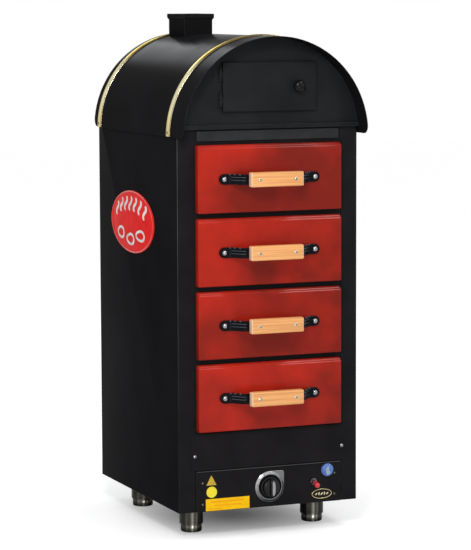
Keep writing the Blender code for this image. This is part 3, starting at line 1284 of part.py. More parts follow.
def terminal_block():
    rear = BODY_DEPTH - TERMINAL_SETBACK
    floor = SHEET + GAP
    low = place(GLAND_X - TERMINAL_LENGTH / 2 + TERMINAL_WIDTH / 2, rear - TERMINAL_WIDTH, floor)
    high = place(GLAND_X + TERMINAL_LENGTH / 2 + TERMINAL_WIDTH / 2, rear, floor + TERMINAL_HEIGHT)
    terminals = block("terminal_block", low, high, WHITE_CERAMIC)
    pitch = TERMINAL_LENGTH / TERMINAL_WAYS
    for way in range(TERMINAL_WAYS):
        x = GLAND_X - TERMINAL_LENGTH / 2 + TERMINAL_WIDTH / 2 + pitch * (way + 0.5)
        well = rod("cut_terminal_%d" % way, TERMINAL_BORE_RADIUS, -TERMINAL_BORE_DEPTH, OVERRUN,
                   place(x, rear - TERMINAL_WIDTH / 2, floor + TERMINAL_HEIGHT), FACING_UP)
        cut(terminals, well)
    return terminals


# Legs

def leg_places():
    return [(x, depth) for depth in (LEG_INSET, BODY_DEPTH - LEG_INSET) for x in (-LEG_X, LEG_X)]


def leg_sleeve(index, x, depth):
    """A tube sleeve welded to the base pan, with a nut plate at its bottom for the foot's stem."""
    bottom = FOOT_HEIGHT + GAP
    top = LEG_HEIGHT + SHEET / 2
    inner = SLEEVE_RADIUS - SLEEVE_WALL
    bore = STEM_RADIUS + GAP
    profile = [(0.0, top), (SLEEVE_RADIUS, top), (SLEEVE_RADIUS, bottom), (bore, bottom),
               (bore, bottom + SLEEVE_NUT), (inner, bottom + SLEEVE_NUT), (inner, top - SLEEVE_WALL),
               (0.0, top - SLEEVE_WALL)]
    return turned("join_sleeve_%d" % index, profile, (x, FRONT_Y + depth, 0.0), FACING_UP)


def levelling_foot(number, x, depth):
    """A foot with a rounded lower edge and the stem that screws up into its sleeve."""
    edge = FOOT_EDGE
    stem_top = FOOT_HEIGHT + STEM_HEIGHT
    profile = [(0.0, stem_top), (STEM_RADIUS, stem_top), (STEM_RADIUS, FOOT_HEIGHT), (FOOT_RADIUS, FOOT_HEIGHT),
               (FOOT_RADIUS, edge), (FOOT_RADIUS - edge / 3, edge / 3), (FOOT_RADIUS - edge, 0.0), (0.0, 0.0)]
    axis = axis_empty("levelling_foot_%d_axis" % number, (x, FRONT_Y + depth, 0.0))
    foot = turned("levelling_foot_%d" % number, profile, axis.location, FACING_UP, BRUSHED_STEEL)
    carry(axis, foot)


# Drawers

def handle_bracket(number, middle):
    """A cast bracket: two feet, curved arms and the bridge behind the grip, with its bolts and screws."""
    foot = STRAP_HALF_LENGTH - STRAP_FOOT
    thick = STRAP_THICKNESS
    rise = STRAP_STANDOFF - thick
    shares = [(1 - math.cos(math.pi * step / ARM_STEPS)) / 2 for step in range(ARM_STEPS + 1)]
    arm = [(foot - STRAP_RUN * step / ARM_STEPS, rise * share) for step, share in enumerate(shares)]
    outside = [(STRAP_HALF_LENGTH, 0.0), (STRAP_HALF_LENGTH, thick)] + [(x, y + thick) for x, y in arm]
    inside = list(reversed(arm))
    outline = outside + [(-x, y) for x, y in reversed(outside)]
    outline += [(-x, y) for x, y in reversed(inside)] + inside
    outline = [(x, -y) for x, y in outline]
    low = middle + Vector((0.0, -GAP, -STRAP_HEIGHT / 2))
    strap = prism("drawer_%d_handle_bracket" % number, [outline], STRAP_HEIGHT, low, FACING_UP, CAST_BLACK)
    radius = STRAP_HEIGHT / 2
    reach = STRAP_HALF_LENGTH - radius
    ends = arc_points(radius, -90, 90, 8, (reach, 0.0)) + arc_points(radius, 90, 270, 8, (-reach, 0.0))
    mask = prism("keep_bracket_%d" % number, [ends], STRAP_STANDOFF + 2 * OVERRUN,
                 middle + Vector((0.0, OVERRUN, 0.0)), FACING_FRONT)
    combine(strap, mask, "INTERSECT")
    helpers = [mask]
    bolt_length = GAP + thick + SHEET + TRAY_SHEET + BOLT_TAIL
    bolt = screw_profile(BOLT_HEAD_RADIUS, BOLT_HEAD_HEIGHT, BOLT_RADIUS, bolt_length)
    for at in bolt_places(number):
        seat = at - Vector((0.0, GAP + thick, 0.0))
        helpers.append(turned("join_bolt", sunk(bolt, thick / 4), seat, FACING_FRONT, steps=HOLE_STEPS))
    screw = screw_profile(GRIP_SCREW_HEAD_RADIUS, GRIP_SCREW_HEAD_HEIGHT, GRIP_SCREW_RADIUS,
                          GAP + GRIP_THICKNESS + GAP + thick / 2)
    for at in grip_screw_places(number):
        seat = at - Vector((0.0, GRIP_FRONT + GAP, 0.0))
        helpers.append(turned("join_grip_screw", screw, seat, FACING_FRONT, steps=HOLE_STEPS))
    join(strap, *helpers[1:])
    return strap, helpers


def bolt_places(number):
    middle = DRAWER_HEIGHT / 2 + drawer_bottom(number)
    reach = STRAP_HALF_LENGTH - STRAP_HEIGHT / 2
    return [place(HANDLE_X + hand * reach, DRAWER_FACE, middle) for hand in (-1, 1)]


def grip_screw_places(number):
    middle = DRAWER_HEIGHT / 2 + drawer_bottom(number)
    return [place(HANDLE_X + hand * GRIP_SCREW_OFFSET, DRAWER_FACE, middle) for hand in (-1, 1)]


GRIP_BACK = GAP + STRAP_STANDOFF + GAP      # from the drawer's face out to the back of the grip
GRIP_FRONT = GRIP_BACK + GRIP_THICKNESS


def drawer(number):
    bottom = drawer_bottom(number)
    top = bottom + DRAWER_HEIGHT
    middle = place(0.0, DRAWER_FACE, bottom + DRAWER_HEIGHT / 2)
    label = "drawer_%d_" % number
    axis = axis_empty(label + "slide", middle)
    front = pan(label + "front", place(-DRAWER_WIDTH / 2, DRAWER_FACE, bottom),
                place(DRAWER_WIDTH / 2, SHEET, top), SHEET, DRAWER_EDGE_RADIUS, (0, 1, 0), RED_ENAMEL)
    shade_round(front)
    tray_front = DRAWER_FACE + SHEET + GAP
    tray_bottom = tray_under(number)
    tray_top = top - FRONT_OVERLAP - TRAY_TOP_CLEARANCE
    tray = pan(label + "tray", place(-TRAY_HALF_WIDTH, tray_front, tray_bottom),
               place(TRAY_HALF_WIDTH, TRAY_REAR, tray_top), TRAY_SHEET, 0.0, (0, 0, 1), GALVANISED)
    handle = middle + Vector((HANDLE_X, 0.0, 0.0))
    bracket, helpers = handle_bracket(number, handle)
    grip_low = handle - Vector((GRIP_LENGTH / 2, GRIP_FRONT, GRIP_HEIGHT / 2))
    grip_high = handle + Vector((GRIP_LENGTH / 2, -GRIP_BACK, GRIP_HEIGHT / 2))
    grip = block(label + "handle_grip", grip_low, grip_high, BEECH)
    soften(grip, GRIP_EDGE_RADIUS)
    for index, at in enumerate(bolt_places(number)):
        hole = rod("cut_bolt_%d_%d" % (number, index), BOLT_RADIUS + GAP, -BOLT_TAIL - OVERRUN,
                   OVERRUN, at, FACING_FRONT)
        cut(front, hole)
        cut(tray, hole)
        helpers.append(hole)
    for index, at in enumerate(grip_screw_places(number)):
        hole = rod("cut_grip_screw_%d_%d" % (number, index), GRIP_SCREW_RADIUS + GAP,
                   GRIP_BACK - OVERRUN, GRIP_FRONT + OVERRUN, at, FACING_FRONT)
        cut(grip, hole)
        helpers.append(hole)
    carry(axis, front, tray, bracket, grip, *helpers)


# Assembly

def build_shell():
    side_panel("side_panel_left", -1)
    side_panel("side_panel_right", 1)
    rear_panel()
    base_pan()
    bottom_deck()
    front_frame()
    fascia_panel()
    lower_panel()
    control_panel()
    lower_panel_screw("lower_panel_screw_left", -1)
    lower_panel_screw("lower_panel_screw_right", 1)


def build_roof():
    roof_sheet()
    roof_trim_strip("roof_trim_strip_front", FRONT_STRIP_DEPTH)
    roof_trim_strip("roof_trim_strip_rear", REAR_STRIP_DEPTH)
    gable_front()
    gable_rear()
    chimney()
    top_compartment()


def build_gable_door():
    axis = axis_empty("gable_door_axis", DOOR_AXIS)
    door, helpers = gable_door()
    knob = gable_door_knob()
    carry(axis, door, knob, *helpers)
    for label, foot in zip(("lower", "upper"), HINGE_HEIGHTS):
        gable_hinge(label, foot)


def build_inside():
    oven_liner()
    insulation_blanket()
    drawer_runners("drawer_runners_left", -1)
    drawer_runners("drawer_runners_right", 1)
    heating_element()
    terminal_block()
    cable_gland()


def build_controls():
    thermostat_bezel()
    thermostat_body()
    axis = axis_empty("thermostat_axis", place(DIAL_X, PANEL_FACE, DIAL_HEIGHT))
    knob, bar = thermostat_knob()
    carry(axis, knob, bar)
    toggle_switch_body()
    pivot = axis_empty("toggle_axis", TOGGLE_PIVOT)
    carry(pivot, toggle_lever())
    pilot_lamp_lens()
    pilot_lamp_body()
    oval_badge()
    side_plate()


build_shell()
build_roof()
build_gable_door()
build_inside()
build_controls()
for foot_number, (foot_x, foot_depth) in enumerate(leg_places(), start=1):
    levelling_foot(foot_number, foot_x, foot_depth)
for drawer_number in range(1, DRAWER_COUNT + 1):
    drawer(drawer_number)
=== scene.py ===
from math import acos, asin, cos, hypot, pi, radians, sin, sqrt

import bmesh
import bpy
from mathutils import Matrix, Vector


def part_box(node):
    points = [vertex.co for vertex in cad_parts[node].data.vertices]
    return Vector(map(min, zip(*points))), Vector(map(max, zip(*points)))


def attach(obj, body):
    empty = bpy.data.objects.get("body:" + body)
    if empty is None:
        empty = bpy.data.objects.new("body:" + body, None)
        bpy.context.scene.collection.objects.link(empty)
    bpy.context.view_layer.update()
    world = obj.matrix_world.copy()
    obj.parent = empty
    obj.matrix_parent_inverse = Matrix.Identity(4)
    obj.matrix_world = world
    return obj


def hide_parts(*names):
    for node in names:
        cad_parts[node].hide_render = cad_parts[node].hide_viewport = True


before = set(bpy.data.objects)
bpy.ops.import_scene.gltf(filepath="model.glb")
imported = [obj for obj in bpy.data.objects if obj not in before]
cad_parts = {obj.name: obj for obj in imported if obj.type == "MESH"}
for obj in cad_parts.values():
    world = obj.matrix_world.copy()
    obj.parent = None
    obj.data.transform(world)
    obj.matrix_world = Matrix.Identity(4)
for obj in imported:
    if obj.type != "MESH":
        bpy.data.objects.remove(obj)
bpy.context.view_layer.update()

# Where things are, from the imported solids, in metres
FRONT = -0.2423                  # the posts' front
UNDERSIDE = 0.065                # the body's underside
ROOF_CENTRE = UNDERSIDE + 0.865
ROOF_RADIUS = 0.23
ROOF_SHEET = 0.0015
ROOF_CORNER = 0.022
ROOF_FRONT = FRONT - 0.053
ROOF_BACK = FRONT + 0.554
EAVE = 0.003
EAVE_TURN = asin(EAVE / ROOF_RADIUS)
PANEL_FACE = -0.0015
DRAWER_FACE = -0.015
DRAWER_CORNER = 0.004
DRAWER_PITCH = 0.1684
DRAWER_MIDDLES = (0.7702, 0.6018, 0.4334, 0.265)
SLOPE_DROP = 0.005
SLOPE_BACK = 0.0055
HANDLE_X = -0.004
HANDLE_STAND = 0.032
HANDLE_END = 0.125               # reaches from the handle's middle: the end, the foot, the grip's bridge
HANDLE_FOOT = 0.102
HANDLE_BRIDGE = 0.072
HANDLE_HALF = 0.012
CAST_THICKNESS = 0.0045
DIAL = (0.001, 0.047)            # across and up: the thermostat, toggle, lamp and badge
TOGGLE = (0.113, 0.051)
LAMP = (0.148, 0.076)
BADGE = (0.134, 0.02)
SIDE_PLATE = (0.294, 0.652)      # in depth and up
SIDE_PLATE_HALF = (0.146, 0.0745)
FEET = ((-0.155, 0.103), (0.155, 0.103), (-0.155, 0.432), (0.155, 0.432))
SKIN = 0.0003                    # how far a finishing piece stands over the CAD face
FORWARD = (0, -1, 0)
SIDES = ((-1, "left"), (1, "right"))


def at(x, depth, height):
    """A point across, behind the posts' front and above the body's underside."""
    return Vector((x, FRONT + depth, UNDERSIDE + height))


# Shader nodes; a socket's id_data is the tree that it is in

FLOAT, COLOUR, VECTOR = "NodeSocketFloat", "NodeSocketColor", "NodeSocketVector"


def give(target, value):
    """Feeds a socket from another socket, or sets its plain value."""
    if isinstance(value, bpy.types.NodeSocket):
        target.id_data.links.new(value, target)
    else:
        target.default_value = value


def add(tree, kind, values=None, **settings):
    """A node with its settings, whose inputs are fed or set."""
    node = tree.nodes.new(kind)
    for key, value in settings.items():
        setattr(node, key, value)
    for key, value in (values or {}).items():
        give(node.inputs[key], value)
    return node


def maths(operation, first, *others, **settings):
    """The value of a maths node over sockets and numbers."""
    values = dict(enumerate((first, *others)))
    return add(first.id_data, "ShaderNodeMath", values, operation=operation, **settings).outputs["Value"]


def vector_maths(operation, first, *others):
    """The outputs of a vector maths node."""
    values = dict(enumerate((first, *others)))
    return add(first.id_data, "ShaderNodeVectorMath", values, operation=operation).outputs


def place_of(tree):
    """Where a point of the piece is."""
    return add(tree, "ShaderNodeTexCoord").outputs["Object"]


def facing_of(tree):
    """The direction that the surface faces."""
    return add(tree, "ShaderNodeNewGeometry").outputs["Normal"]


def parts_of(vector):
    """The X, Y and Z of a vector."""
    return add(vector.id_data, "ShaderNodeSeparateXYZ", {"Vector": vector}).outputs


def noise(place, size, detail, roughness=0.5, distortion=0.0):
    """A cloudy value over a place."""
    values = {"Vector": place, "Scale": size, "Detail": detail, "Roughness": roughness,
              "Distortion": distortion}
    return add(place.id_data, "ShaderNodeTexNoise", values).outputs["Fac"]


def stretched(tree, stretch):
    """Object coordinates, stretched by the given factors."""
    return vector_maths("MULTIPLY", place_of(tree), stretch)["Vector"]


def spread(value, low, high, start=0.0, end=1.0, **settings):
    """A value mapped from start..end to low..high."""
    values = {"Value": value, "From Min": start, "From Max": end, "To Min": low, "To Max": high}
    return add(value.id_data, "ShaderNodeMapRange", values, **settings).outputs["Result"]


def uneven(value, low, high):
    """A roughness that follows a noise."""
    return spread(value, low, high, 0.3, 0.7)


def mixed(factor, first, second):
    """A colour between two, where each may be a socket or a plain colour."""
    values = {"Factor": factor}
    for label, colour in (("A", first), ("B", second)):
        values[label] = (*colour, 1.0) if isinstance(colour, tuple) else colour
    return add(factor.id_data, "ShaderNodeMix", values, data_type="RGBA").outputs["Result"]


def ramp(value, stops):
    """A colour ramp through (position, colour or grey) stops."""
    node = add(value.id_data, "ShaderNodeValToRGB", {"Fac": value})
    line = node.color_ramp.elements
    line[0].position = stops[0][0]
    line[1].position = stops[-1][0]
    for position, shade in stops[1:-1]:
        line.new(position)
    for element, (position, shade) in zip(line, stops):
        element.color = (*shade, 1.0) if isinstance(shade, tuple) else (shade, shade, shade, 1.0)
    return node.outputs["Color"]


# Shader-node groups shared by several finishes

def new_group(name, inputs, outputs):
    """A shader-node group with named sockets: its tree, what it is given and what it puts out."""
    tree = bpy.data.node_groups.new(name, "ShaderNodeTree")
    for label, kind, value in inputs:
        tree.interface.new_socket(name=label, in_out="INPUT", socket_type=kind).default_value = value
    for label, kind in outputs:
        tree.interface.new_socket(name=label, in_out="OUTPUT", socket_type=kind)
    return tree, tree.nodes.new("NodeGroupInput").outputs, tree.nodes.new("NodeGroupOutput").inputs


def use_group(tree, group, **values):
    """The outputs of a group whose inputs are set by name."""
    values = {label.replace("_", " "): value for label, value in values.items()}
    return add(tree, "ShaderNodeGroup", values, node_tree=group).outputs


def coat_grain_group():
    """Fine texture of a powder coat: a height for bump and a slow cloud for uneven gloss."""
    tree, given, out = new_group("coat grain", [("Grain size", FLOAT, 900.0), ("Cloud size", FLOAT, 6.0)],
                                 [("Height", FLOAT), ("Cloud", FLOAT)])
    place = place_of(tree)
    give(out["Height"], noise(place, given["Grain size"], 3.0, 0.6))
    give(out["Cloud"], noise(place, given["Cloud size"], 3.0, 0.55))
    return tree


def masked(tree, out, first, second, amount):
    """Puts out two masks' product, scaled by an amount."""
    both = maths("MULTIPLY", first, second)
    give(out["Mask"], maths("MULTIPLY", both, amount, use_clamp=True))
    return tree


def edge_wear_and_highlight_group():
    """A mask that is 1 on outer edges, broken up by noise: partly wear, partly a painted highlight along the
    edges.
    """
    tree, given, out = new_group("edge wear and painted highlight", [("Width", FLOAT, 0.0012), ("Amount", FLOAT, 1.0)],
                                 [("Mask", FLOAT)])
    rounded = add(tree, "ShaderNodeBevel", {"Radius": given["Width"]}, samples=4).outputs["Normal"]
    turn = vector_maths("DOT_PRODUCT", rounded, facing_of(tree))["Value"]
    broken = noise(place_of(tree), 55.0, 3.0)
    edge = spread(turn, 0.0, 1.0, 0.995, 0.9)
    return masked(tree, out, edge, spread(broken, 0.25, 1.0, 0.38, 0.62), given["Amount"])


def settled_dust_group():
    """A thin dust that gathers on faces that look up."""
    tree, given, out = new_group("settled dust", [("Amount", FLOAT, 0.3)], [("Mask", FLOAT)])
    level = spread(parts_of(facing_of(tree))["Z"], 0.0, 1.0, 0.5, 1.0)
    return masked(tree, out, level, noise(place_of(tree), 34.0, 5.0, 0.7), given["Amount"])


def brushed_lines_group():
    """Fine lines along one direction, for brushed or drawn metal."""
    tree, given, out = new_group("brushed lines", [("Stretch", VECTOR, (40.0, 40.0, 900.0))],
                                 [("Lines", FLOAT), ("Wide lines", FLOAT)])
    place = stretched(tree, given["Stretch"])
    for label, size in (("Lines", 1.0), ("Wide lines", 0.22)):
        give(out[label], noise(place, size, 4.0, 0.65))
    return tree


def timber_group():
    """Long beech grain: pale and darker growth lines with short flecks, along X."""
    tree, given, out = new_group("timber grain", [("Light wood", COLOUR, (0.8, 0.45, 0.19, 1.0)),
                                                  ("Dark wood", COLOUR, (0.5, 0.2, 0.06, 1.0))],
                                 [("Colour", COLOUR), ("Height", FLOAT)])
    lines = noise(stretched(tree, (5.0, 160.0, 330.0)), 1.0, 3.0, 0.55, 0.3)
    flecks = noise(stretched(tree, (110.0, 600.0, 1300.0)), 1.0, 2.0)
    grain = maths("MAXIMUM", ramp(lines, ((0.42, 0.0), (0.62, 1.0))),
                  spread(flecks, 0.0, 0.5, 0.62, 0.75))
    share = maths("MULTIPLY", grain, 0.75)
    give(out["Colour"], mixed(share, given["Light wood"], given["Dark wood"]))
    give(out["Height"], grain)
    return tree


def zinc_spangle_group():
    """The crystal pattern of galvanised sheet."""
    tree, given, out = new_group("zinc spangle", [("Size", FLOAT, 90.0)],
                                 [("Shade", FLOAT), ("Height", FLOAT)])
    crystals = add(tree, "ShaderNodeTexVoronoi", {"Vector": place_of(tree), "Scale": given["Size"]}).outputs
    shades = add(tree, "ShaderNodeSeparateColor", {"Color": crystals["Color"]}).outputs
    give(out["Shade"], shades["Red"])
    give(out["Height"], crystals["Distance"])
    return tree


GRAIN = coat_grain_group()
EDGE_WEAR_AND_HIGHLIGHT = edge_wear_and_highlight_group()
DUST = settled_dust_group()
BRUSHED = brushed_lines_group()
TIMBER = timber_group()
SPANGLE = zinc_spangle_group()


# Finishes

def new_finish(name, **plain):
    """A material and its tree; the plain values sit on the shader's own sockets."""
    finish = bpy.data.materials.new(name)
    finish.use_nodes = True
    shader = finish.node_tree.nodes["Principled BSDF"]
    for label, value in plain.items():
        shader.inputs[label.replace("_", " ")].default_value = value
    return finish, finish.node_tree


def dressed(finish, colour, roughness, height, strength, distance=0.0003):
    """Feeds a finish's colour, its bump and, unless it is plain, its roughness."""
    tree = finish.node_tree
    shader = tree.nodes["Principled BSDF"]
    bump = add(tree, "ShaderNodeBump", {"Height": height, "Strength": strength, "Distance": distance})
    give(shader.inputs["Base Color"], colour)
    give(shader.inputs["Normal"], bump.outputs["Normal"])
    if roughness is not None:
        give(shader.inputs["Roughness"], roughness)
    return finish


def toned(colour, share, lift=0.0):
    """A colour made darker by a share, and lifted evenly."""
    return tuple(part * share + lift for part in colour)


def painted_drawer_shade(tree, cloud):
    """Painted shade on the drawer fronts: darker right, at each drawer's foot and under its handle."""
    x, _, z = parts_of(place_of(tree))
    number = maths("DIVIDE", spread(z, 0.0, 1.0, 0.246, 1.246), DRAWER_PITCH)
    share = maths("FRACT", number)
    handle = add(tree, "ShaderNodeCombineXYZ", {"X": spread(x, 0.0, 1.0, -0.035, 0.05, clamp=False),
                                                "Y": spread(share, 0.0, 1.0, 0.24, 0.46, clamp=False)})
    away = vector_maths("LENGTH", handle.outputs["Vector"])["Value"]
    odd = maths("PINGPONG", maths("FLOOR", number), 1.0)
    # Painted shade: darker to the right.
    total = spread(x, 0.0, 0.42, -0.16, 0.17)
    # Painted shade towards each drawer's foot and a painted shadow under its handle; odd drawers darker.
    for term in (spread(share, 0.34, 0.0, 0.1, 0.95), spread(away, 0.4, 0.0),
                 spread(odd, -0.04, 0.17), spread(cloud, -0.12, 0.55, 0.32, 0.68)):
        total = maths("ADD", total, term)
    return spread(total, 0.0, 1.0)


def coated(name, colour, worn_and_lit_edge, roughness, specular, grain=900.0, bump=0.1, wear=0.5, dust=0.2, cloud=6.0,
           dark=None, edge=0.0012, painted_shading=False):
    """A coat over sheet metal: grain, uneven gloss, edges partly wear and partly painted highlight, dust,
    painted shade if asked.
    """
    finish, tree = new_finish(name, Specular_IOR_Level=specular)
    texture = use_group(tree, GRAIN, Grain_size=grain, Cloud_size=cloud)
    edges = use_group(tree, EDGE_WEAR_AND_HIGHLIGHT, Amount=wear, Width=edge)["Mask"]
    settled = use_group(tree, DUST, Amount=dust)["Mask"]
    cloudy = texture["Cloud"]
    shade = painted_drawer_shade(tree, cloudy) if painted_shading else spread(cloudy, 0.0, 1.0, 0.32, 0.68)
    body = mixed(shade, colour, dark or toned(colour, 0.72))
    edged = mixed(edges, body, worn_and_lit_edge)
    dusted = mixed(settled, edged, toned(worn_and_lit_edge, 0.6, 0.05))
    gloss = uneven(cloudy, roughness * 0.85, roughness * 1.15)
    return dressed(finish, dusted, gloss, texture["Height"], bump, 0.0004)


def metal(name, colour, roughness, stretch, bump=0.02, tarnish=None, amount=0.5):
    """A bare metal with drawn lines and slight tarnish."""
    finish, tree = new_finish(name, Metallic=1.0)
    lines = use_group(tree, BRUSHED, Stretch=stretch)
    stain = use_group(tree, GRAIN, Cloud_size=38.0)["Cloud"]
    tone = mixed(spread(stain, 0.0, amount, 0.4, 0.75), colour, tarnish or toned(colour, 0.6))
    lined = mixed(spread(lines["Wide lines"], 0.0, 0.25), tone, toned(colour, 0.75))
    gloss = uneven(lines["Lines"], roughness * 0.8, roughness * 1.3)
    return dressed(finish, lined, gloss, lines["Lines"], bump)


def moulded(name, colour, roughness, specular=0.5, bump=0.05, **plain):
    """Moulded plastic, ceramic or lacquer with a faint orange-peel surface."""
    finish, tree = new_finish(name, Specular_IOR_Level=specular, **plain)
    texture = use_group(tree, GRAIN, Grain_size=420.0, Cloud_size=40.0)
    tone = mixed(spread(texture["Cloud"], 0.0, 1.0, 0.35, 0.65), colour, toned(colour, 0.8))
    gloss = uneven(texture["Cloud"], roughness * 0.8, roughness * 1.2)
    return dressed(finish, tone, gloss, texture["Height"], bump)


def printed_film(name, colour, faded):
    """Printed film, a little uneven and faded."""
    finish, tree = new_finish(name, Specular_IOR_Level=0.08)
    texture = use_group(tree, GRAIN, Grain_size=700.0, Cloud_size=45.0)
    tone = mixed(spread(texture["Cloud"], 0.0, 1.0, 0.4, 0.65), colour, faded)
    return dressed(finish, tone, spread(texture["Height"], 0.35, 0.5), texture["Height"], 0.05, 0.0002)


def varnished_beech():
    """Beech with its grain along the grip, and a painted highlight that makes its ends paler."""
    finish, tree = new_finish("varnished beech", Specular_IOR_Level=0.35)
    timber = use_group(tree, TIMBER, Light_wood=(0.84, 0.41, 0.15, 1.0), Dark_wood=(0.6, 0.255, 0.085, 1.0))
    # Painted highlight: faces that look along X, the grip's ends, are paler.
    end = maths("ABSOLUTE", parts_of(facing_of(tree))["X"])
    tone = mixed(spread(end, 0.0, 0.85, 0.35, 0.8), timber["Colour"], (0.92, 0.68, 0.46))
    return dressed(finish, tone, spread(timber["Height"], 0.38, 0.55), timber["Height"], 0.12)


def galvanised_sheet():
    """Zinc with its spangle."""
    finish, tree = new_finish("galvanised sheet", Metallic=1.0)
    crystals = use_group(tree, SPANGLE, Size=70.0)
    tone = mixed(crystals["Shade"], (0.42, 0.43, 0.45), (0.62, 0.63, 0.64))
    return dressed(finish, tone, spread(crystals["Shade"], 0.28, 0.5), crystals["Height"], 0.05, 0.0005)


def mineral_wool():
    """Loose yellow fibres."""
    finish, tree = new_finish("mineral wool", Roughness=0.95, Specular_IOR_Level=0.1)
    fibres = use_group(tree, BRUSHED, Stretch=(260.0, 260.0, 1400.0))["Lines"]
    return dressed(finish, mixed(fibres, (0.52, 0.44, 0.26), (0.8, 0.74, 0.52)), None, fibres, 0.6, 0.002)


def polished_brass():
    """Brass with painted reflections: cream low down, dark brown near the crown, shaded sides."""
    finish, tree = new_finish("polished brass", Metallic=1.0, Specular_Tint=(0.52, 0.46, 0.3, 1.0))
    lines = use_group(tree, BRUSHED, Stretch=(4.0, 600.0, 4.0))
    stain = use_group(tree, GRAIN, Cloud_size=14.0)["Cloud"]
    z = parts_of(place_of(tree))["Z"]
    # Painted reflection by height over the roof: pale cream low down, dark brown near the crown.
    painted_shading = ramp(spread(z, 0.0, 1.0, ROOF_CENTRE, ROOF_CENTRE + ROOF_RADIUS),
                  ((0.12, (0.9, 0.78, 0.46)), (0.38, (1.0, 0.98, 0.74)), (0.62, (1.0, 0.98, 0.74)),
                   (0.78, (0.24, 0.2, 0.13)), (0.87, (0.1, 0.086, 0.056)), (0.97, (0.16, 0.125, 0.06))))
    spotted = mixed(spread(stain, 0.0, 0.35, 0.4, 0.75), painted_shading, (0.45, 0.33, 0.15))
    lined = mixed(spread(lines["Wide lines"], 0.0, 0.2), spotted, (0.42, 0.3, 0.11))
    # Painted shade on faces that look along Y, the strip's sides.
    along = maths("ABSOLUTE", parts_of(facing_of(tree))["Y"])
    painted_flank_shade = maths("MULTIPLY", spread(along, 0.0, 0.85, 0.12, 0.5), maths("LESS_THAN", along, 0.9))
    tone = mixed(painted_flank_shade, lined, (0.16, 0.11, 0.02))
    return dressed(finish, tone, uneven(lines["Lines"], 0.17, 0.28), lines["Lines"], 0.02)


def turned_chrome():
    """Polished chrome with turning marks and painted light: bright upper left, dark lower right."""
    finish, tree = new_finish("polished chrome", Metallic=1.0)
    lines = use_group(tree, BRUSHED, Stretch=(500.0, 60.0, 500.0))
    # Painted light: the tone follows how far each face turns towards the upper left.
    side = vector_maths("DOT_PRODUCT", facing_of(tree), (-0.55, -0.1, 0.8))["Value"]
    painted_light_tone = mixed(spread(side, 0.0, 1.0, -0.22, 0.46), (0.028, 0.03, 0.034), (0.46, 0.47, 0.48))
    lined = mixed(spread(lines["Wide lines"], 0.0, 0.35), painted_light_tone, (0.1, 0.1, 0.11))
    return dressed(finish, lined, uneven(lines["Lines"], 0.18, 0.32), lines["Lines"], 0.02)


def turned_steel():
    """Steel tube with painted reflections: bright upright bands on a dark round, stronger low down."""
    finish, tree = new_finish("polished steel tube", Metallic=1.0)
    facing = parts_of(facing_of(tree))
    # Painted reflections: bright and dark bands set by the face's direction round the tube.
    round_it = maths("ARCTAN2", facing["X"], maths("MULTIPLY", facing["Y"], -1.0))
    painted_streaks = ramp(maths("FRACT", maths("DIVIDE", round_it, pi)),
                   ((0.0, 0.22), (0.03, 0.4), (0.08, 0.05), (0.4, 0.03), (0.7, 0.06), (0.745, 0.26),
                    (0.8, 0.13), (0.86, 0.2), (0.918, 1.0), (0.965, 0.2), (1.0, 0.22)))
    low = spread(parts_of(place_of(tree))["Z"], 1.0, 0.3, 0.018, 0.06)
    lines = use_group(tree, BRUSHED, Stretch=(40.0, 40.0, 1600.0))
    steel = mixed(maths("MULTIPLY", painted_streaks, low), (0.012, 0.011, 0.008), (0.72, 0.7, 0.6))
    lined = mixed(spread(lines["Wide lines"], 0.0, 0.3), steel, (0.05, 0.046, 0.035))
    return dressed(finish, lined, uneven(lines["Lines"], 0.2, 0.34), lines["Lines"], 0.4)


def painted_edge_highlight():
    """A grey line with a painted highlight for a folded edge, brightest near the roof."""
    finish, tree = new_finish("rubbed folded edge", Specular_IOR_Level=0.05, Roughness=0.4)
    grain = use_group(tree, GRAIN, Grain_size=60.0, Cloud_size=9.0)
    # Painted highlight: brighter towards the top.
    high = spread(parts_of(place_of(tree))["Z"], 0.0, 1.0, 0.25, 0.93)
    painted_highlight = mixed(high, (0.013, 0.012, 0.013), (0.15, 0.155, 0.15))
    broken = mixed(spread(grain["Cloud"], 0.0, 0.6, 0.4, 0.62), painted_highlight, (0.02, 0.02, 0.02))
    return dressed(finish, broken, None, grain["Height"], 0.1)


def lamp_lens():
    """Blue ribbed lens."""
    finish, tree = new_finish("blue lamp lens", Roughness=0.12, Transmission_Weight=0.35, IOR=1.49)
    ribs = add(tree, "ShaderNodeTexWave", {"Vector": place_of(tree), "Scale": 260.0, "Distortion": 1.5})
    ribs = ribs.outputs["Fac"]
    return dressed(finish, mixed(ribs, (0.085, 0.19, 0.62), (0.17, 0.34, 0.85)), None, ribs, 0.25, 0.0004)


COAT_BLACK = (0.011, 0.0102, 0.0115)
# The lighter colour on the black coats' edges is partly wear and partly a painted highlight.
BLACK_COAT = coated("black powder coat", COAT_BLACK, (0.15, 0.155, 0.15), 0.22, 0.0011, wear=0.9, dust=0.01,
                    bump=0.03, edge=0.0022)
ROOF_COAT = coated("black roof coat", COAT_BLACK, (0.11, 0.115, 0.115), 0.22, 0.0011, wear=0.45, dust=0.01,
                   bump=0.03)
FRONT_COAT = coated("black front coat", (0.014, 0.013, 0.0143), (0.06, 0.062, 0.062), 0.34, 0.02, dust=0.01,
                    bump=0.06, cloud=12.0)
GABLE_COAT = coated("black gable coat", (0.016, 0.017, 0.018), (0.085, 0.09, 0.09), 0.4, 0.05, wear=0.6,
                    dust=0.01, bump=0.08, cloud=14.0)
FASCIA_COAT = coated("black fascia coat", (0.029, 0.032, 0.0345), (0.06, 0.064, 0.066), 0.4, 0.05, wear=0.4,
                     dust=0.01, bump=0.08, cloud=22.0)
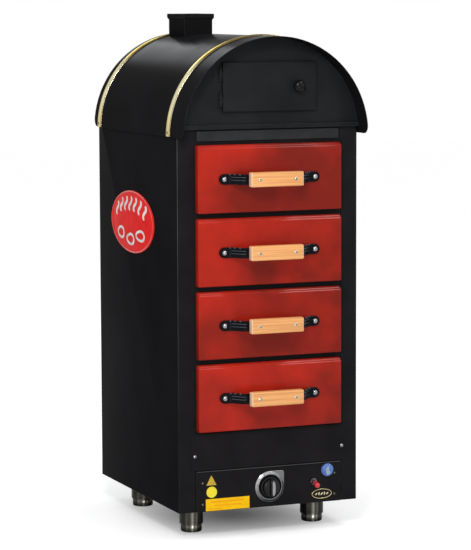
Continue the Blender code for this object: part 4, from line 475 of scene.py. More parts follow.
# Red enamel with painted shade: darker to the right, towards each drawer's foot and under each handle.
RED_COAT = coated("red drawer enamel", (0.54, 0.022, 0.01), (0.62, 0.06, 0.04), 0.2, 0.14, grain=260.0,
                  bump=0.04, wear=0.25, dust=0.0, cloud=7.5, dark=(0.2, 0.012, 0.006), painted_shading=True)
PLATE_RED = coated("red oval enamel", (0.8, 0.018, 0.016), (0.85, 0.25, 0.2), 0.18, 0.015, grain=200.0,
                   bump=0.05, wear=0.6, dust=0.0, cloud=30.0, dark=(0.66, 0.013, 0.012))
# A lighter red for the plate's rim: a painted highlight.
PLATE_RIM_HIGHLIGHT = coated("rubbed oval rim", (0.8, 0.1, 0.085), (0.9, 0.55, 0.5), 0.16, 0.3, grain=200.0,
                   bump=0.05, dust=0.0, cloud=26.0, dark=(0.66, 0.02, 0.018))
CAST_BLACK = coated("black cast handle", (0.0035, 0.004, 0.006), (0.03, 0.034, 0.042), 0.24, 0.09,
                    grain=700.0, wear=0.6, dust=0.0, cloud=60.0)
# A lighter grey that paints the highlight on the control panel's top edge.
SEAM_HIGHLIGHT = coated("rubbed seam edge", (0.08, 0.082, 0.08), (0.1, 0.1, 0.1), 0.35, 0.05, wear=0.2, dust=0.0)
# A painted highlight for the side panels' front corners.
EDGE_HIGHLIGHT = painted_edge_highlight()
PLATE_WHITE = printed_film("white enamel", (0.78, 0.76, 0.74), (0.6, 0.55, 0.54))
LABEL_YELLOW = printed_film("yellow label", (0.93, 0.555, 0.006), (0.88, 0.46, 0.004))
LABEL_PALE = printed_film("pale yellow label", (0.88, 0.74, 0.055), (0.8, 0.64, 0.035))
LABEL_OCHRE = printed_film("ochre label", (0.62, 0.42, 0.045), (0.5, 0.33, 0.05))
LABEL_BAND = printed_film("orange band", (0.86, 0.36, 0.006), (0.86, 0.42, 0.006))
BRASS = polished_brass()
BOLT_STEEL = metal("bolt steel", (0.4, 0.41, 0.43), 0.14, (900.0, 60.0, 60.0))
SCREW_BRASS = metal("passivated screw", (0.7, 0.56, 0.36), 0.18, (900.0, 60.0, 60.0))
CHROME = metal("satin chrome", (0.2, 0.21, 0.225), 0.26, (200.0, 60.0, 200.0), tarnish=(0.16, 0.16, 0.18),
               amount=0.8)
DARK_STEEL = metal("dark steel", (0.16, 0.15, 0.14), 0.35, (400.0, 60.0, 400.0), 0.05)
TURNED_CHROME = turned_chrome()
TURNED_STEEL = turned_steel()
GALVANISED = galvanised_sheet()
# Lighter grey for the bracket's ridges and beads: painted highlights.
CAST_RIDGE_HIGHLIGHT = moulded("rubbed casting ridge", (0.075, 0.085, 0.105), 0.3, 0.3, 0.03)
BLACK_PLASTIC = moulded("black plastic", (0.012, 0.012, 0.013), 0.28, 0.45)
DIAL_BLACK = moulded("black dial knob", (0.006, 0.006, 0.006), 0.16, 0.3, 0.01)
KNOB_LACQUER = moulded("black knob", (0.0045, 0.0045, 0.0045), 0.05, 0.18, 0.0)
RED_PLASTIC = moulded("red sleeve", (0.66, 0.035, 0.045), 0.3, Subsurface_Weight=0.1)
CERAMIC = moulded("white ceramic", (0.75, 0.73, 0.68), 0.35)
LENS = lamp_lens()
# A pale blue for the sliver on the lamp lens: a painted highlight.
LENS_GLINT = moulded("painted lamp glint", (0.66, 0.84, 0.97), 0.16, 0.4)
BEECH = varnished_beech()
WOOL = mineral_wool()


# Making pieces

def in_scene(name, data):
    """An object in the scene."""
    item = bpy.data.objects.new(name, data)
    bpy.context.scene.collection.objects.link(item)
    return item


def placed(name, mesh, finish, slot, body="case"):
    """Puts a mesh in the scene. A piece that is given a CAD node's name stands for that node."""
    mesh.name = name
    mesh.materials.clear()
    mesh.materials.append(finish)
    stands_for_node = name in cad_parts
    piece = in_scene(name + "_finish" if stands_for_node else name, mesh)
    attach(piece, body)
    if stands_for_node:
        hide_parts(name)
    return piece


def ease(piece, width, steps=2, limit=50):
    """Rounds a piece's edges."""
    bevel = piece.modifiers.new("eased edges", "BEVEL")
    bevel.width = width
    bevel.segments = steps
    bevel.limit_method = "ANGLE"
    bevel.angle_limit = radians(limit)
    bevel.use_clamp_overlap = True
    bevel.harden_normals = True
    return piece


def written(bm, angle):
    """A mesh with smooth faces, and sharp edges where they turn by more than an angle."""
    mesh = bpy.data.meshes.new("piece")
    bm.to_mesh(mesh)
    bm.free()
    for face in mesh.polygons:
        face.use_smooth = True
    mesh.set_sharp_from_angle(angle=radians(angle))
    return mesh


def made(bm, angle=35):
    """A mesh with its faces turned outward."""
    bmesh.ops.recalc_face_normals(bm, faces=bm.faces[:])
    return written(bm, angle)


def cad_copy(node):
    """A CAD node's shape to work on, with its flat faces whole."""
    bm = bmesh.new()
    bm.from_mesh(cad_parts[node].data)
    bmesh.ops.remove_doubles(bm, verts=bm.verts[:], dist=1e-6)
    bmesh.ops.dissolve_limit(bm, angle_limit=radians(0.6), verts=bm.verts[:], edges=bm.edges[:])
    return bm


def eased(node, finish, slot, edge, body="case", limit=40):
    """A finer copy of a CAD piece, with its edges eased."""
    return ease(placed(node, made(cad_copy(node), limit), finish, slot, body), edge, limit=limit)


def faces_between(bm, rows, around=True):
    """Faces from each row of points to the next; a row of one point is a tip."""
    for low, high in zip(rows, rows[1:]):
        count = max(len(low), len(high))
        for i in range(count if around else count - 1):
            j = (i + 1) % count
            corners = (low[i % len(low)], low[j % len(low)], high[j % len(high)], high[i % len(high)])
            bm.faces.new(list(dict.fromkeys(corners)))


def add_loft(bm, rings, ends="capped"):
    """Adds a skin through rings of points, whose ends are capped, open or joined to each other."""
    rows = [[bm.verts.new(point) for point in ring] for ring in rings]
    faces_between(bm, rows + rows[:1] if ends == "joined" else rows)
    if ends == "capped":
        for row in (rows[0][::-1], rows[-1]):
            if len(row) > 2:
                bm.faces.new(row)


def lofted(rings, angle=35, ends="capped"):
    """A mesh through rings of points."""
    bm = bmesh.new()
    add_loft(bm, rings, ends)
    return made(bm, angle)


def full_turn(steps):
    """Angles once round."""
    return [2 * pi * i / steps for i in range(steps)]


def turned(profile, centre, axis, steps=48, angle=30):
    """A round piece from (radius, reach) pairs about an axis through a centre."""
    axis = Vector(axis).normalized()
    side = axis.orthogonal().normalized()
    other = axis.cross(side)
    rings = []
    for radius, reach in profile:
        middle = Vector(centre) + axis * reach
        turns = full_turn(steps) if radius > 1e-6 else [0.0]
        rings.append([middle + radius * (cos(turn) * side + sin(turn) * other) for turn in turns])
    return lofted(rings, angle, "open")


def quarter(width, height, steps):
    """A quarter of an oval as (width, height) points, from its top to its side."""
    return [(width * sin(pi / 2 * i / steps), height * cos(pi / 2 * i / steps))
            for i in range(steps + 1)]


def domed(radius, rise, seat=0.0, steps=8):
    """The profile of a low dome that stands on a seat."""
    return [(width, seat + height) for width, height in quarter(radius, rise, steps)] + [(0.0, seat)]


def ring_at(centre, y, points):
    """Points across and up from a centre, at one depth."""
    return [(centre.x + a, y, centre.z + b) for a, b in points]


def plate(outline, thickness, face):
    """A flat plate from (x, z) points, whose front is at a depth."""
    return lofted([[(x, y, z) for x, z in outline] for y in (face, face + thickness)])


def oval_points(half_width, half_height, steps):
    """An oval as (a, b) points."""
    return [(half_width * cos(turn), half_height * sin(turn)) for turn in full_turn(steps)]


def box_points(left, right, bottom, top):
    """A rectangle as (a, b) points."""
    return [(left, bottom), (right, bottom), (right, top), (left, top)]


def rounded_corners(half_width, half_height, radius, steps=5):
    """A rounded rectangle as (a, b) points."""
    points = []
    for corner, (sx, sy) in enumerate(((1, 1), (-1, 1), (-1, -1), (1, -1))):
        for i in range(steps + 1):
            turn = pi / 2 * (corner + i / steps)
            points.append((sx * (half_width - radius) + radius * cos(turn),
                           sy * (half_height - radius) + radius * sin(turn)))
    return points


def slotted_screw(name, centre, axis, radius, rise, finish, body="case", turn=0.0, cross=False):
    """A domed screw head with a straight or a cross slot, a dark bar that paints the slot's shade."""
    head = placed(name, turned(domed(radius, rise), centre, axis, 28), finish, "bright_steel", body)
    axis = Vector(axis).normalized()
    side = axis.orthogonal().normalized()
    side.rotate(Matrix.Rotation(turn, 3, axis))
    other = axis.cross(side)
    reach = radius * (0.62 if cross else 0.95)
    width = radius * 0.16
    bm = bmesh.new()
    for index, (along, across) in enumerate([(side, other), (other, side)] if cross else [(side, other)]):
        middle = Vector(centre) + axis * (rise * (0.78 - 0.02 * index) + 0.00002)
        low = [middle + along * a + across * b for a, b in box_points(-reach, reach, -width, width)]
        add_loft(bm, [low, [corner + axis * rise * 0.25 for corner in low]])
    # The dark bar paints the slot's shade.
    placed(head.name + "_slot", made(bm), DARK_STEEL, "bright_steel", body)


# Roof

def corner_cut(turn):
    """How far the roof sheet's rounded corner cuts in, at an angle round the arch."""
    below = max(ROOF_CORNER + EAVE - ROOF_RADIUS * sin(turn), 0.0)
    return ROOF_CORNER - sqrt(max(ROOF_CORNER ** 2 - below ** 2, 0.0))


def arch_turns(steps):
    """Angles round the arch from eave to eave."""
    return [EAVE_TURN + (pi - 2 * EAVE_TURN) * i / steps for i in range(steps + 1)]


def roof_sheet():
    """The barrel roof with its chimney hole, as one curved sheet."""
    low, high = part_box("chimney")
    rim = 0.0032
    hole_y = (low.y + rim, high.y - rim)
    hole_turns = [acos(x / ROOF_RADIUS) for x in (low.x + rim, high.x - rim)]
    turns = [turn for turn in arch_turns(160) if all(abs(turn - edge) > 0.004 for edge in hole_turns)]
    near_eave = [EAVE_TURN + 0.00076 * i ** 2 for i in range(1, 10)]
    turns = sorted(turns + hole_turns + near_eave + [pi - turn for turn in near_eave])
    turns = [turn for before, turn in zip([-1.0] + turns, turns) if turn - before > 1e-5]
    middles = sorted([ROOF_FRONT + 0.023, ROOF_BACK - 0.023, *hole_y])
    bm = bmesh.new()
    rows = []
    for turn in turns:
        x, z = ROOF_RADIUS * cos(turn), ROOF_CENTRE + ROOF_RADIUS * sin(turn)
        depths = [ROOF_FRONT + corner_cut(turn), *middles, ROOF_BACK - corner_cut(turn)]
        rows.append([bm.verts.new((x, y, z)) for y in depths])
    for turn, row, after in zip(turns, rows, rows[1:]):
        inside = hole_turns[1] - 1e-6 < turn < hole_turns[0] - 1e-6
        for j in range(len(middles) + 1):
            if inside and middles[j - 1] == hole_y[0]:
                continue
            bm.faces.new((row[j], row[j + 1], after[j + 1], after[j]))
    bmesh.ops.recalc_face_normals(bm, faces=bm.faces[:])
    if max(bm.faces, key=lambda face: face.calc_center_median().z).normal.z < 0:
        bmesh.ops.reverse_faces(bm, faces=bm.faces[:])
    roof = placed("roof_sheet", written(bm, 35), ROOF_COAT, "black_coat")
    skin = roof.modifiers.new("sheet", "SOLIDIFY")
    skin.thickness = ROOF_SHEET
    skin.offset = -1.0
    ease(roof, 0.0005, 3)


def roof_strip(name):
    """A half-round brass strip over the roof, with a dark screw at each end."""
    low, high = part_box(name)
    middle = (low.y + high.y) / 2
    half = (high.y - low.y) / 2
    inner = ROOF_RADIUS + SKIN
    edge, rise = 0.0006, 0.0031
    section = [(inner + edge + (rise - edge) * sin(turn) ** 0.6, half * cos(turn))
               for turn in (pi * i / 14 for i in range(15))]
    section = [(inner, half), *section, (inner, -half)]
    rings = [[(r * cos(turn), middle + y, ROOF_CENTRE + r * sin(turn)) for r, y in section]
             for turn in arch_turns(180)]
    placed(name, lofted(rings, 60), BRASS, "brass")
    lift = 0.012
    x = sqrt((inner + rise) ** 2 - lift ** 2) - 0.0004
    for hand, label in SIDES:
        slotted_screw("%s_screw_%s" % (name, label), (hand * x, middle, ROOF_CENTRE + lift), (hand, 0, 0.05),
                      0.0038, 0.0012, DARK_STEEL)


# Drawers

def handle_stand(reach):
    """How far a casting stands off its drawer, at a reach from its middle."""
    share = min(max((HANDLE_FOOT - reach) / (HANDLE_FOOT - HANDLE_BRIDGE), 0.0), 1.0)
    return (HANDLE_STAND - CAST_THICKNESS) * (1 - cos(pi * share)) / 2


def casting_section(reach):
    """A casting's outline as (depth, height) points: eased edges, and a flatter face along the arms."""
    half = HANDLE_HALF
    past_round = reach - (HANDLE_END - HANDLE_HALF)
    if past_round > 0:
        half = sqrt(max(HANDLE_HALF ** 2 - past_round ** 2, 0.0012 ** 2))
    sunk = 0.0009 * min(max((HANDLE_FOOT - 0.002 - reach) / 0.006, 0.0), 1.0)
    face = half - 0.0014
    back = [(0.0, half - 0.0006), (0.0006, half), (CAST_THICKNESS - 0.0012, half), (CAST_THICKNESS, face)]
    front = [(CAST_THICKNESS - sunk * (1 - (i / 6) ** 8), face * i / 6) for i in range(5, -6, -1)]
    return back + front + [(depth, -z) for depth, z in reversed(back)]


def cast_bracket(body, middle):
    """A cast bracket: round feet, arms that swing out, ridges along them and small beads on top."""
    def on_arm(x, out, up):
        return at(HANDLE_X + x, DRAWER_FACE - SKIN - handle_stand(abs(x)) - out, middle + up)

    arm = HANDLE_FOOT - HANDLE_BRIDGE
    foot = HANDLE_END - HANDLE_HALF - HANDLE_FOOT
    stations = [HANDLE_END - HANDLE_HALF * (1 - cos(pi / 2 * i / 8)) for i in range(9)]
    stations += [HANDLE_FOOT + foot * (1 - i / 3) for i in (1, 2, 3)]
    stations += [HANDLE_BRIDGE + arm * (1 - i / 12) for i in range(1, 13)]
    stations += [HANDLE_BRIDGE * (1 - i / 4) for i in (1, 2, 3)]
    rings = [[on_arm(x, out, up) for out, up in casting_section(abs(x))]
             for x in stations + [0.0] + [-x for x in reversed(stations)]]
    placed(body + "_handle_bracket", lofted(rings, 50), CAST_BLACK, "cast_black", body)
    for hand, label in SIDES:
        for index, reach in enumerate((0.099, 0.0905, 0.082)):
            spot = on_arm(hand * reach, 0.003, HANDLE_HALF - 0.0006)
            bead = turned(domed(0.0026, 0.0016, -0.0008, 5), spot, (0, -0.5, 1), 16)
            # The beads are a lighter grey: painted highlights.
            placed("%s_bead_%s_%d" % (body, label, index + 1), bead, CAST_RIDGE_HIGHLIGHT, "cast_black", body)
        for index, height in enumerate((0.0046, -0.0022)):
            rings = []
            for i in range(15):
                size = 0.00065 * min(1.0, 0.3 + i / 3, 0.3 + (14 - i) / 3)
                spot = on_arm(hand * (0.1 - 0.03 * i / 14), CAST_THICKNESS - 0.0009, height)
                rings.append([spot + size * Vector((0, -cos(turn), sin(turn))) for turn in full_turn(8)])
            ridge = lofted(rings, 60)
            # The ridges are a lighter grey: painted highlights.
            placed("%s_ridge_%s_%d" % (body, label, index + 1), ridge, CAST_RIDGE_HIGHLIGHT, "cast_black", body)
        dome = domed(0.0064, 0.005, 0.0005)[:-1] + [(0.0064, 0.0), (0.0, 0.0)]
        bolt = turned(dome, on_arm(hand * 0.113, CAST_THICKNESS, 0.0), FORWARD, 36)
        placed("%s_bolt_%s" % (body, label), bolt, BOLT_STEEL, "bright_steel", body)


def wooden_grip(body, turn):
    """A beech block with softened edges and two cross-head screws."""
    name = body + "_handle_grip"
    low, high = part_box(name)
    half = (high - low) / 2
    centre = (low + high) / 2
    ends = ((0.0, 0.0022), (0.0009, 0.0007), (0.0024, 0.0))
    stations = [(hand * (half.x - back), inset) for hand, rows in ((-1, ends), (1, ends[::-1]))
                for back, inset in rows]
    rings = []
    for x, inset in stations:
        section = rounded_corners(half.y - inset, half.z - inset, 0.003 - inset * 0.5)
        rings.append([centre + Vector((x, a, b)) for a, b in section])
    placed(name, lofted(rings, 40), BEECH, "beech", body)
    for hand, label in SIDES:
        spot = Vector((HANDLE_X + hand * 0.0445, low.y + 0.0001, centre.z))
        cup = turned([(0.005, 0.0), (0.005, 0.0002), (0.0042, 0.0004), (0.0, 0.0004)], spot, FORWARD, 28)
        placed("%s_screw_cup_%s" % (body, label), cup, SCREW_BRASS, "bright_steel", body)
        slotted_screw("%s_grip_screw_%s" % (body, label), spot + Vector((0, -0.0003, 0)), FORWARD, 0.0036,
                      0.0011, SCREW_BRASS, body, turn, cross=True)


def drawer_front(body):
    """The red front, whose top edge slopes back to the gap above it."""
    node = body + "_front"
    low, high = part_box(node)
    bm = cad_copy(node)
    for vert in bm.verts:
        up = (vert.co.z - high.z) / DRAWER_CORNER + 1
        if up > -0.01 and vert.co.y < low.y + 1.1 * DRAWER_CORNER:
            vert.co.z -= SLOPE_DROP * (1 - up)
            vert.co.y += SLOPE_BACK * up
    ease(placed(node, made(bm, 16), RED_COAT, "red_enamel", body), 0.0007, 3)


def drawer(number):
    """A drawer's front, tray and handle."""
    body = "drawer_%d" % number
    drawer_front(body)
    eased(body + "_tray", GALVANISED, "galvanised", 0.0004, body)
    cast_bracket(body, DRAWER_MIDDLES[number - 1])
    wooden_grip(body, 0.3 + number)


# Controls

def thermostat():
    """Chrome bezel with a square corner, tick marks and the black knob with its bright pointer."""
    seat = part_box("thermostat_bezel")[1].y
    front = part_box("thermostat_knob")[0].y
    centre = at(DIAL[0], 0.0, DIAL[1])
    outer = 0.0365
    rings = []
    for reach, radius in ((0.0, outer), (0.001, outer), (0.0014, outer * 0.985)):
        ring = []
        for a, b in oval_points(radius, radius, 96):
            if a > 0 and b > 0:
                bulge = min(radius / max(a, b), 1.36)
                a, b = min(a * bulge, radius), min(b * bulge, radius)
            ring.append((a, b))
        rings.append(ring_at(centre, seat - reach, ring))
    for reach, radius in ((0.0014, 0.0356), (0.0018, 0.0352), (0.0042, 0.03), (0.004, 0.0288),
                          (0.0016, 0.028), (0.0003, 0.0278), (0.0, 0.0278)):
        rings.append(ring_at(centre, seat - reach, oval_points(radius, radius, 96)))
    placed("thermostat_bezel", lofted(rings, 28, "joined"), TURNED_CHROME, "bright_steel")
    tick = ((0.0308, -0.0005, 0.0039), (0.0338, -0.0007, 0.0025),
            (0.0338, 0.0007, 0.0025), (0.0308, 0.0005, 0.0039))
    for index in range(11):
        turn = radians(225 - 27 * index)
        across, up = cos(turn), sin(turn)
        rings = [[(centre.x + out * across - side * up, seat - reach - lift,
                   centre.z + out * up + side * across) for out, side, reach in tick]
                 for lift in (-SKIN, 0.0001)]
        placed("dial_tick_%d" % (index + 1), lofted(rings), BLACK_PLASTIC, "black_plastic")
    skirt = [(0.003, 0.0), (0.0233, 0.0), (0.0235, 0.0008), (0.0235, 0.0042), (0.0228, 0.0054),
             (0.0218, 0.0059), (0.0211, 0.0062), (0.0205, 0.0085), (0.0203, 0.013), (0.0196, 0.015),
             (0.018, 0.0158), (0.0, 0.016)]
    base = Vector((centre.x, seat - SKIN, centre.z))
    body = "thermostat_knob"
    placed("thermostat_knob", turned(skirt, base, FORWARD, 72), DIAL_BLACK, "black_plastic", body)
    bar = ((seat - 0.014, 0.0), (front + 0.003, 0.0002), (front + 0.001, 0.0008), (front + 0.0001, 0.0024))
    rings = [ring_at(centre, y, rounded_corners(0.0062 - inset, 0.02 - inset, 0.004, 6)) for y, inset in bar]
    placed("thermostat_grip_bar", lofted(rings, 40), DIAL_BLACK, "black_plastic", body)
    rings = []
    for reach, inset in ((0.0006, 0.0), (-0.0001, 0.0), (-0.0003, 0.0004)):
        right = [((0.0052 - inset) * (1 - (i / 8) ** 4), i) for i in range(-8, 9)]
        left = [(0.0022 * (1 - (i / 8) ** 2) - 0.004 * (1 - (i / 8) ** 4), i) for i in range(7, -8, -1)]
        rings.append(ring_at(centre, front + reach, [(a, 0.0182 * i / 8 - 0.001) for a, i in right + left]))
    placed("thermostat_pointer", lofted(rings, 40), BOLT_STEEL, "bright_steel", body)


def toggle():
    """Chrome bushing and nut with the red-sleeved lever."""
    seat = at(TOGGLE[0], PANEL_FACE - SKIN, TOGGLE[1])
    nut = [(0.0085 * cos(turn + 0.2), 0.0085 * sin(turn + 0.2)) for turn in full_turn(6)]
    rings = [ring_at(seat, seat.y - reach, nut) for reach in (0.0, 0.0026)]
    ease(placed("toggle_nut", lofted(rings), CHROME, "bright_steel"), 0.0005)
    bushing = [(0.006, 0.0), (0.006, 0.0052), (0.0055, 0.006), (0.0042, 0.006), (0.004, 0.0054),
               (0.004, 0.001)]
    placed("toggle_bushing", turned(bushing, seat, FORWARD, 40), CHROME, "bright_steel")
    tilt = radians(17)
    axis = (0.0, -cos(tilt), -sin(tilt))
    pivot = at(TOGGLE[0], PANEL_FACE - 0.0035, TOGGLE[1])
    stub = [(0.0, -0.0034), (0.0026, -0.0024), (0.0034, 0.0), (0.0024, 0.0024), (0.0022, 0.006)]
    placed("toggle_stub", turned(stub, pivot, axis, 32), CHROME, "bright_steel", "toggle_lever")
    sleeve = [(0.0026, 0.005), (0.0042, 0.005), (0.0047, 0.0062), (0.0051, 0.011)]
    sleeve += [(0.0056 + 0.0009 * sin(pi / 2 * i / 4), 0.015 + 0.0045 * i / 4) for i in range(5)]
    sleeve += [(width, 0.0195 + height) for width, height in quarter(0.0065, 0.0065, 8)[-2::-1]]
    placed("toggle_lever", turned(sleeve, pivot, axis, 40), RED_PLASTIC, "red_plastic", "toggle_lever")


def pilot_lamp():
    """A domed blue lens with a small bent pale sliver on it: a painted highlight."""
    seat = at(LAMP[0], PANEL_FACE - SKIN, LAMP[1])
    dome_radius, dome_rise, dome_foot = 0.015, 0.0065, 0.0032
    lens = [(0.0155, 0.0), (0.0155, 0.003)]
    lens += [(width, dome_foot + height) for width, height in quarter(dome_radius, dome_rise, 10)[::-1]]
    placed("pilot_lamp_lens", turned(lens, seat, FORWARD, 16, 12), LENS, "blue_lens")
    bm = bmesh.new()
    rows = []
    for i in range(13):
        b = -0.0108 + 0.0205 * i / 12
        width = 0.0052 * sin(pi * (0.06 + 0.88 * i / 12)) ** 0.7 * (1.25 - 0.6 * i / 12)
        row = []
        for side in (-1, -0.4, 0.4, 1):
            a = 0.0012 * (sin(i * 0.6) - 1) + side * width
            share = min(hypot(a, b) / dome_radius, 0.99)
            reach = dome_foot + dome_rise * sqrt(1 - share ** 2) + 0.0001 * (1 - side ** 2)
            row.append(bm.verts.new((seat.x + a, seat.y - reach, seat.z + b)))
        rows.append(row)
    faces_between(bm, rows, around=False)
    bmesh.ops.solidify(bm, geom=bm.faces[:], thickness=0.0003)
    placed("pilot_lamp_glint", made(bm, 60), LENS_GLINT, "blue_lens")


def badge():
    """A small oval badge: gilt rim, black field and a plain gilt leaf spray."""
    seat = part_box("oval_badge")[1].y
    centre = at(BADGE[0], 0.0, BADGE[1])
    rim = ((0.0, 0.0), (0.0, 0.001), (0.0005, 0.0017), (0.0012, 0.0018), (0.0019, 0.0014),
           (0.0022, 0.0008), (0.0023, 0.0002))
    rings = [ring_at(centre, seat - reach, oval_points(0.026 - inset, 0.012 - inset, 72))
             for inset, reach in rim]
    placed("oval_badge", lofted(rings, 60, "joined"), BRASS, "brass")
    field = [(centre.x + a, centre.z + b) for a, b in oval_points(0.024, 0.01, 72)]
    placed("badge_field", plate(field, 0.0007, seat - 0.001), KNOB_LACQUER, "oval_enamel")
    spray = ((-0.014, 0.0, 0.0075, 0.35), (-0.007, 0.0005, 0.0085, -0.35), (0.0, 0.0, 0.0095, 0.3),
             (0.007, 0.0005, 0.0085, -0.35), (0.014, 0.0, 0.0075, 0.35))
    for index, (a, b, length, lean) in enumerate(spray):
        tilt = pi / 2 - lean - 0.5
        leaf = []
        for turn in full_turn(20):
            u = length / 2 * cos(turn)
            v = 0.0016 * sin(turn) * (1 - 0.5 * cos(turn) ** 2)
            leaf.append((centre.x + a + u * cos(tilt) - v * sin(tilt),
                         centre.z + b + u * sin(tilt) + v * cos(tilt)))
        placed("badge_leaf_%d" % (index + 1), plate(leaf, 0.0006, seat - 0.0015), BRASS, "brass")


def labels():
    """Yellow labels without signs or words: a triangle, a disc and a wide one with orange bands."""
    face = FRONT + PANEL_FACE - 0.00025
    band_face = face - 0.00008
    disc = [(a - 0.1443, b + 0.0449) for a, b in oval_points(0.013, 0.013, 48)]
    triangle = [(-0.145, 0.0844), (-0.1575, 0.0612), (-0.1325, 0.0612)]
    for name, outline, thickness, front, finish in (
            ("triangle", triangle, 0.0002, face, LABEL_OCHRE),
            ("disc", disc, 0.0002, face, LABEL_PALE),
            ("wide", box_points(-0.1592, -0.0499, 0.001, 0.029), 0.0002, face, LABEL_YELLOW),
            ("band_1", box_points(-0.146, -0.064, 0.0195, 0.0235), 0.00015, band_face, LABEL_BAND),
            ("band_2", box_points(-0.138, -0.07, 0.011, 0.0145), 0.00015, band_face, LABEL_BAND),
            ("band_3", box_points(-0.15, -0.118, 0.004, 0.0068), 0.00015, band_face, LABEL_BAND)):
        label = plate([(x, UNDERSIDE + z) for x, z in outline], thickness, front)
        placed("label_" + name, label, finish, None)


def panel_lip():
    """The control panel's rolled top edge, a painted highlight seen as a thin line under the lower panel."""
    low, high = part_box("control_panel")
    radius = 0.0009
    rings = [[(x, low.y - 0.0001 + radius * sin(turn), high.z - radius + radius * cos(turn))
              for turn in full_turn(10)]
             for x in (low.x + 0.001, low.x + 0.002, high.x - 0.002, high.x - 0.001)]
    placed("control_panel_lip", lofted(rings, 60), SEAM_HIGHLIGHT, "black_coat")


def corner_edges():
    """The folded front corners of the side panels, as thin lines with a painted highlight."""
    radius = 0.0007
    for hand, label in SIDES:
        rings = [[(hand * (0.224 + radius * cos(turn)), FRONT + 0.001 + radius * sin(turn), z)
                  for turn in full_turn(8)]
                 for z in (UNDERSIDE + 0.001, UNDERSIDE + 0.003, ROOF_CENTRE - 0.004, ROOF_CENTRE - 0.002)]
        placed("corner_edge_" + label, lofted(rings, 60), EDGE_HIGHLIGHT, "black_coat")


def panel_screws():
    """The bright case screws and the small control panel screws."""
    for hand, label in SIDES:
        slotted_screw("lower_panel_screw_" + label, at(hand * 0.186, -0.0021, 0.131), FORWARD, 0.004, 0.002,
                      BOLT_STEEL, turn=0.6 * hand)
        for height in (0.017, 0.067):
            slotted_screw("control_screw_%s_%d" % (label, height * 1000),
                          at(hand * 0.167, PANEL_FACE - 0.0001, height), FORWARD, 0.0027, 0.0016, DARK_STEEL,
                          turn=height * 40)


# Side plate

PLATE_DOME = ((1.0, 0.0), (1.0, 0.0012), (0.992, 0.0022), (0.98, 0.0029), (0.966, 0.0031), (0.952, 0.0027),
              (0.942, 0.002), (0.93, 0.0021), (0.87, 0.003), (0.74, 0.0048), (0.55, 0.0065), (0.3, 0.0076),
              (0.0, 0.008))


def plate_height(a, b):
    """How far the side plate's dome stands out at (depth, height) from its centre."""
    share = min(hypot(a / SIDE_PLATE_HALF[0], b / SIDE_PLATE_HALF[1]), 1.0)
    for (outer, low), (inner, high) in zip(PLATE_DOME[1:], PLATE_DOME[2:]):
        if inner <= share <= outer:
            return high + (low - high) * (share - inner) / (outer - inner)
    return 0.001


def raised_line(points, width, loop, on_plate):
    """A flat line over the dome, through (depth, height) points."""
    rows = []
    last = len(points) - 1
    for i, point in enumerate(points):
        before = points[i - 1 if loop else max(i - 1, 0)]
        after = points[(i + 1) % len(points) if loop else min(i + 1, last)]
        along = (Vector(after) - Vector(before)).normalized()
        half = width / 2 * (1.0 if loop else min(1.0, 0.45 + 3.2 * min(i, last - i) / len(points)))
        row = []
        for side, lift in ((-1, -0.0002), (-1, 0.00035), (0, 0.0005), (1, 0.00035), (1, -0.0002)):
            a, b = Vector(point) + Vector((-along.y, along.x)) * side * half
            row.append(on_plate(a, b, max(plate_height(a, b) + lift, 0.0003)))
        rows.append(row)
    return lofted(rows, 60, "joined" if loop else "capped")


def side_plate():
    """The domed red oval with an arc of pale steam curls over three potatoes."""
    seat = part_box("side_plate")[1].x
    centre = at(0, *SIDE_PLATE)
    half_depth, half_height = SIDE_PLATE_HALF

    def on_plate(a, b, reach):
        return Vector((seat - reach, centre.y + a, centre.z + b))

    rings = []
    for share, reach in PLATE_DOME:
        oval = oval_points(half_depth * share, half_height * share, 96 if share else 1)
        rings.append([on_plate(a, b, reach) for a, b in oval])
    placed("side_plate", lofted(rings, 50), PLATE_RED, "oval_enamel")
    # The rim ring in the lighter red is a painted highlight.
    rings = []
    for a, b in oval_points(half_depth * 0.969, half_height * 0.969, 96):
        out = Vector((a / half_depth ** 2, b / half_height ** 2)).normalized() * 0.0016
        rings.append([on_plate(a + out.x * cos(turn), b + out.y * cos(turn), 0.0028 + 0.0008 * sin(turn))
                      for turn in full_turn(8)])
    placed("side_plate_rim", lofted(rings, 60, "joined"), PLATE_RIM_HIGHLIGHT, "oval_enamel")
    for index in range(7):
        a = -0.093 + 0.031 * index
        b = 0.004 + 0.038 * sqrt(1 - (a / 0.112) ** 2)
        curl = [(a + 0.0065 * sin(2 * pi * i / 24), b - 0.014 + 0.032 * i / 24) for i in range(25)]
        placed("side_plate_steam_%d" % (index + 1), raised_line(curl, 0.0095, False, on_plate), PLATE_WHITE,
               "oval_enamel")
    for index, (a, b) in enumerate(((-0.066, -0.029), (0.0, -0.041), (0.066, -0.029))):
        potato = []
        for turn in full_turn(40):
            radius = 1 + 0.06 * cos(2 * turn + 0.6 + index) + 0.05 * cos(3 * turn)
            potato.append((a + 0.0235 * radius * cos(turn), b + 0.012 * radius * sin(turn)))
        placed("side_plate_potato_%d" % (index + 1), raised_line(potato, 0.0062, True, on_plate), PLATE_WHITE,
               "oval_enamel")


# Gable door's knob, feet and the plain sheet parts

def gable_knob():
    """A round lacquered knob on a short neck."""
    low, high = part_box("gable_door_knob")
    seat = Vector(((low.x + high.x) / 2, FRONT - 0.0104, (low.z + high.z) / 2))
    half = 0.01
    middle = 0.0157
    profile = [(0.003, -0.003), (0.006, 0.0), (0.0058, 0.003), (0.0062, 0.0056)]
    profile += [(0.0143 * sin(turn), middle - half * cos(turn)) for turn in
                (radians(angle) for angle in range(28, 180, 8))]
    profile += [(0.0, middle + half)]
    placed("gable_door_knob", turned(profile, seat, FORWARD), KNOB_LACQUER, "black_plastic", "gable_door")


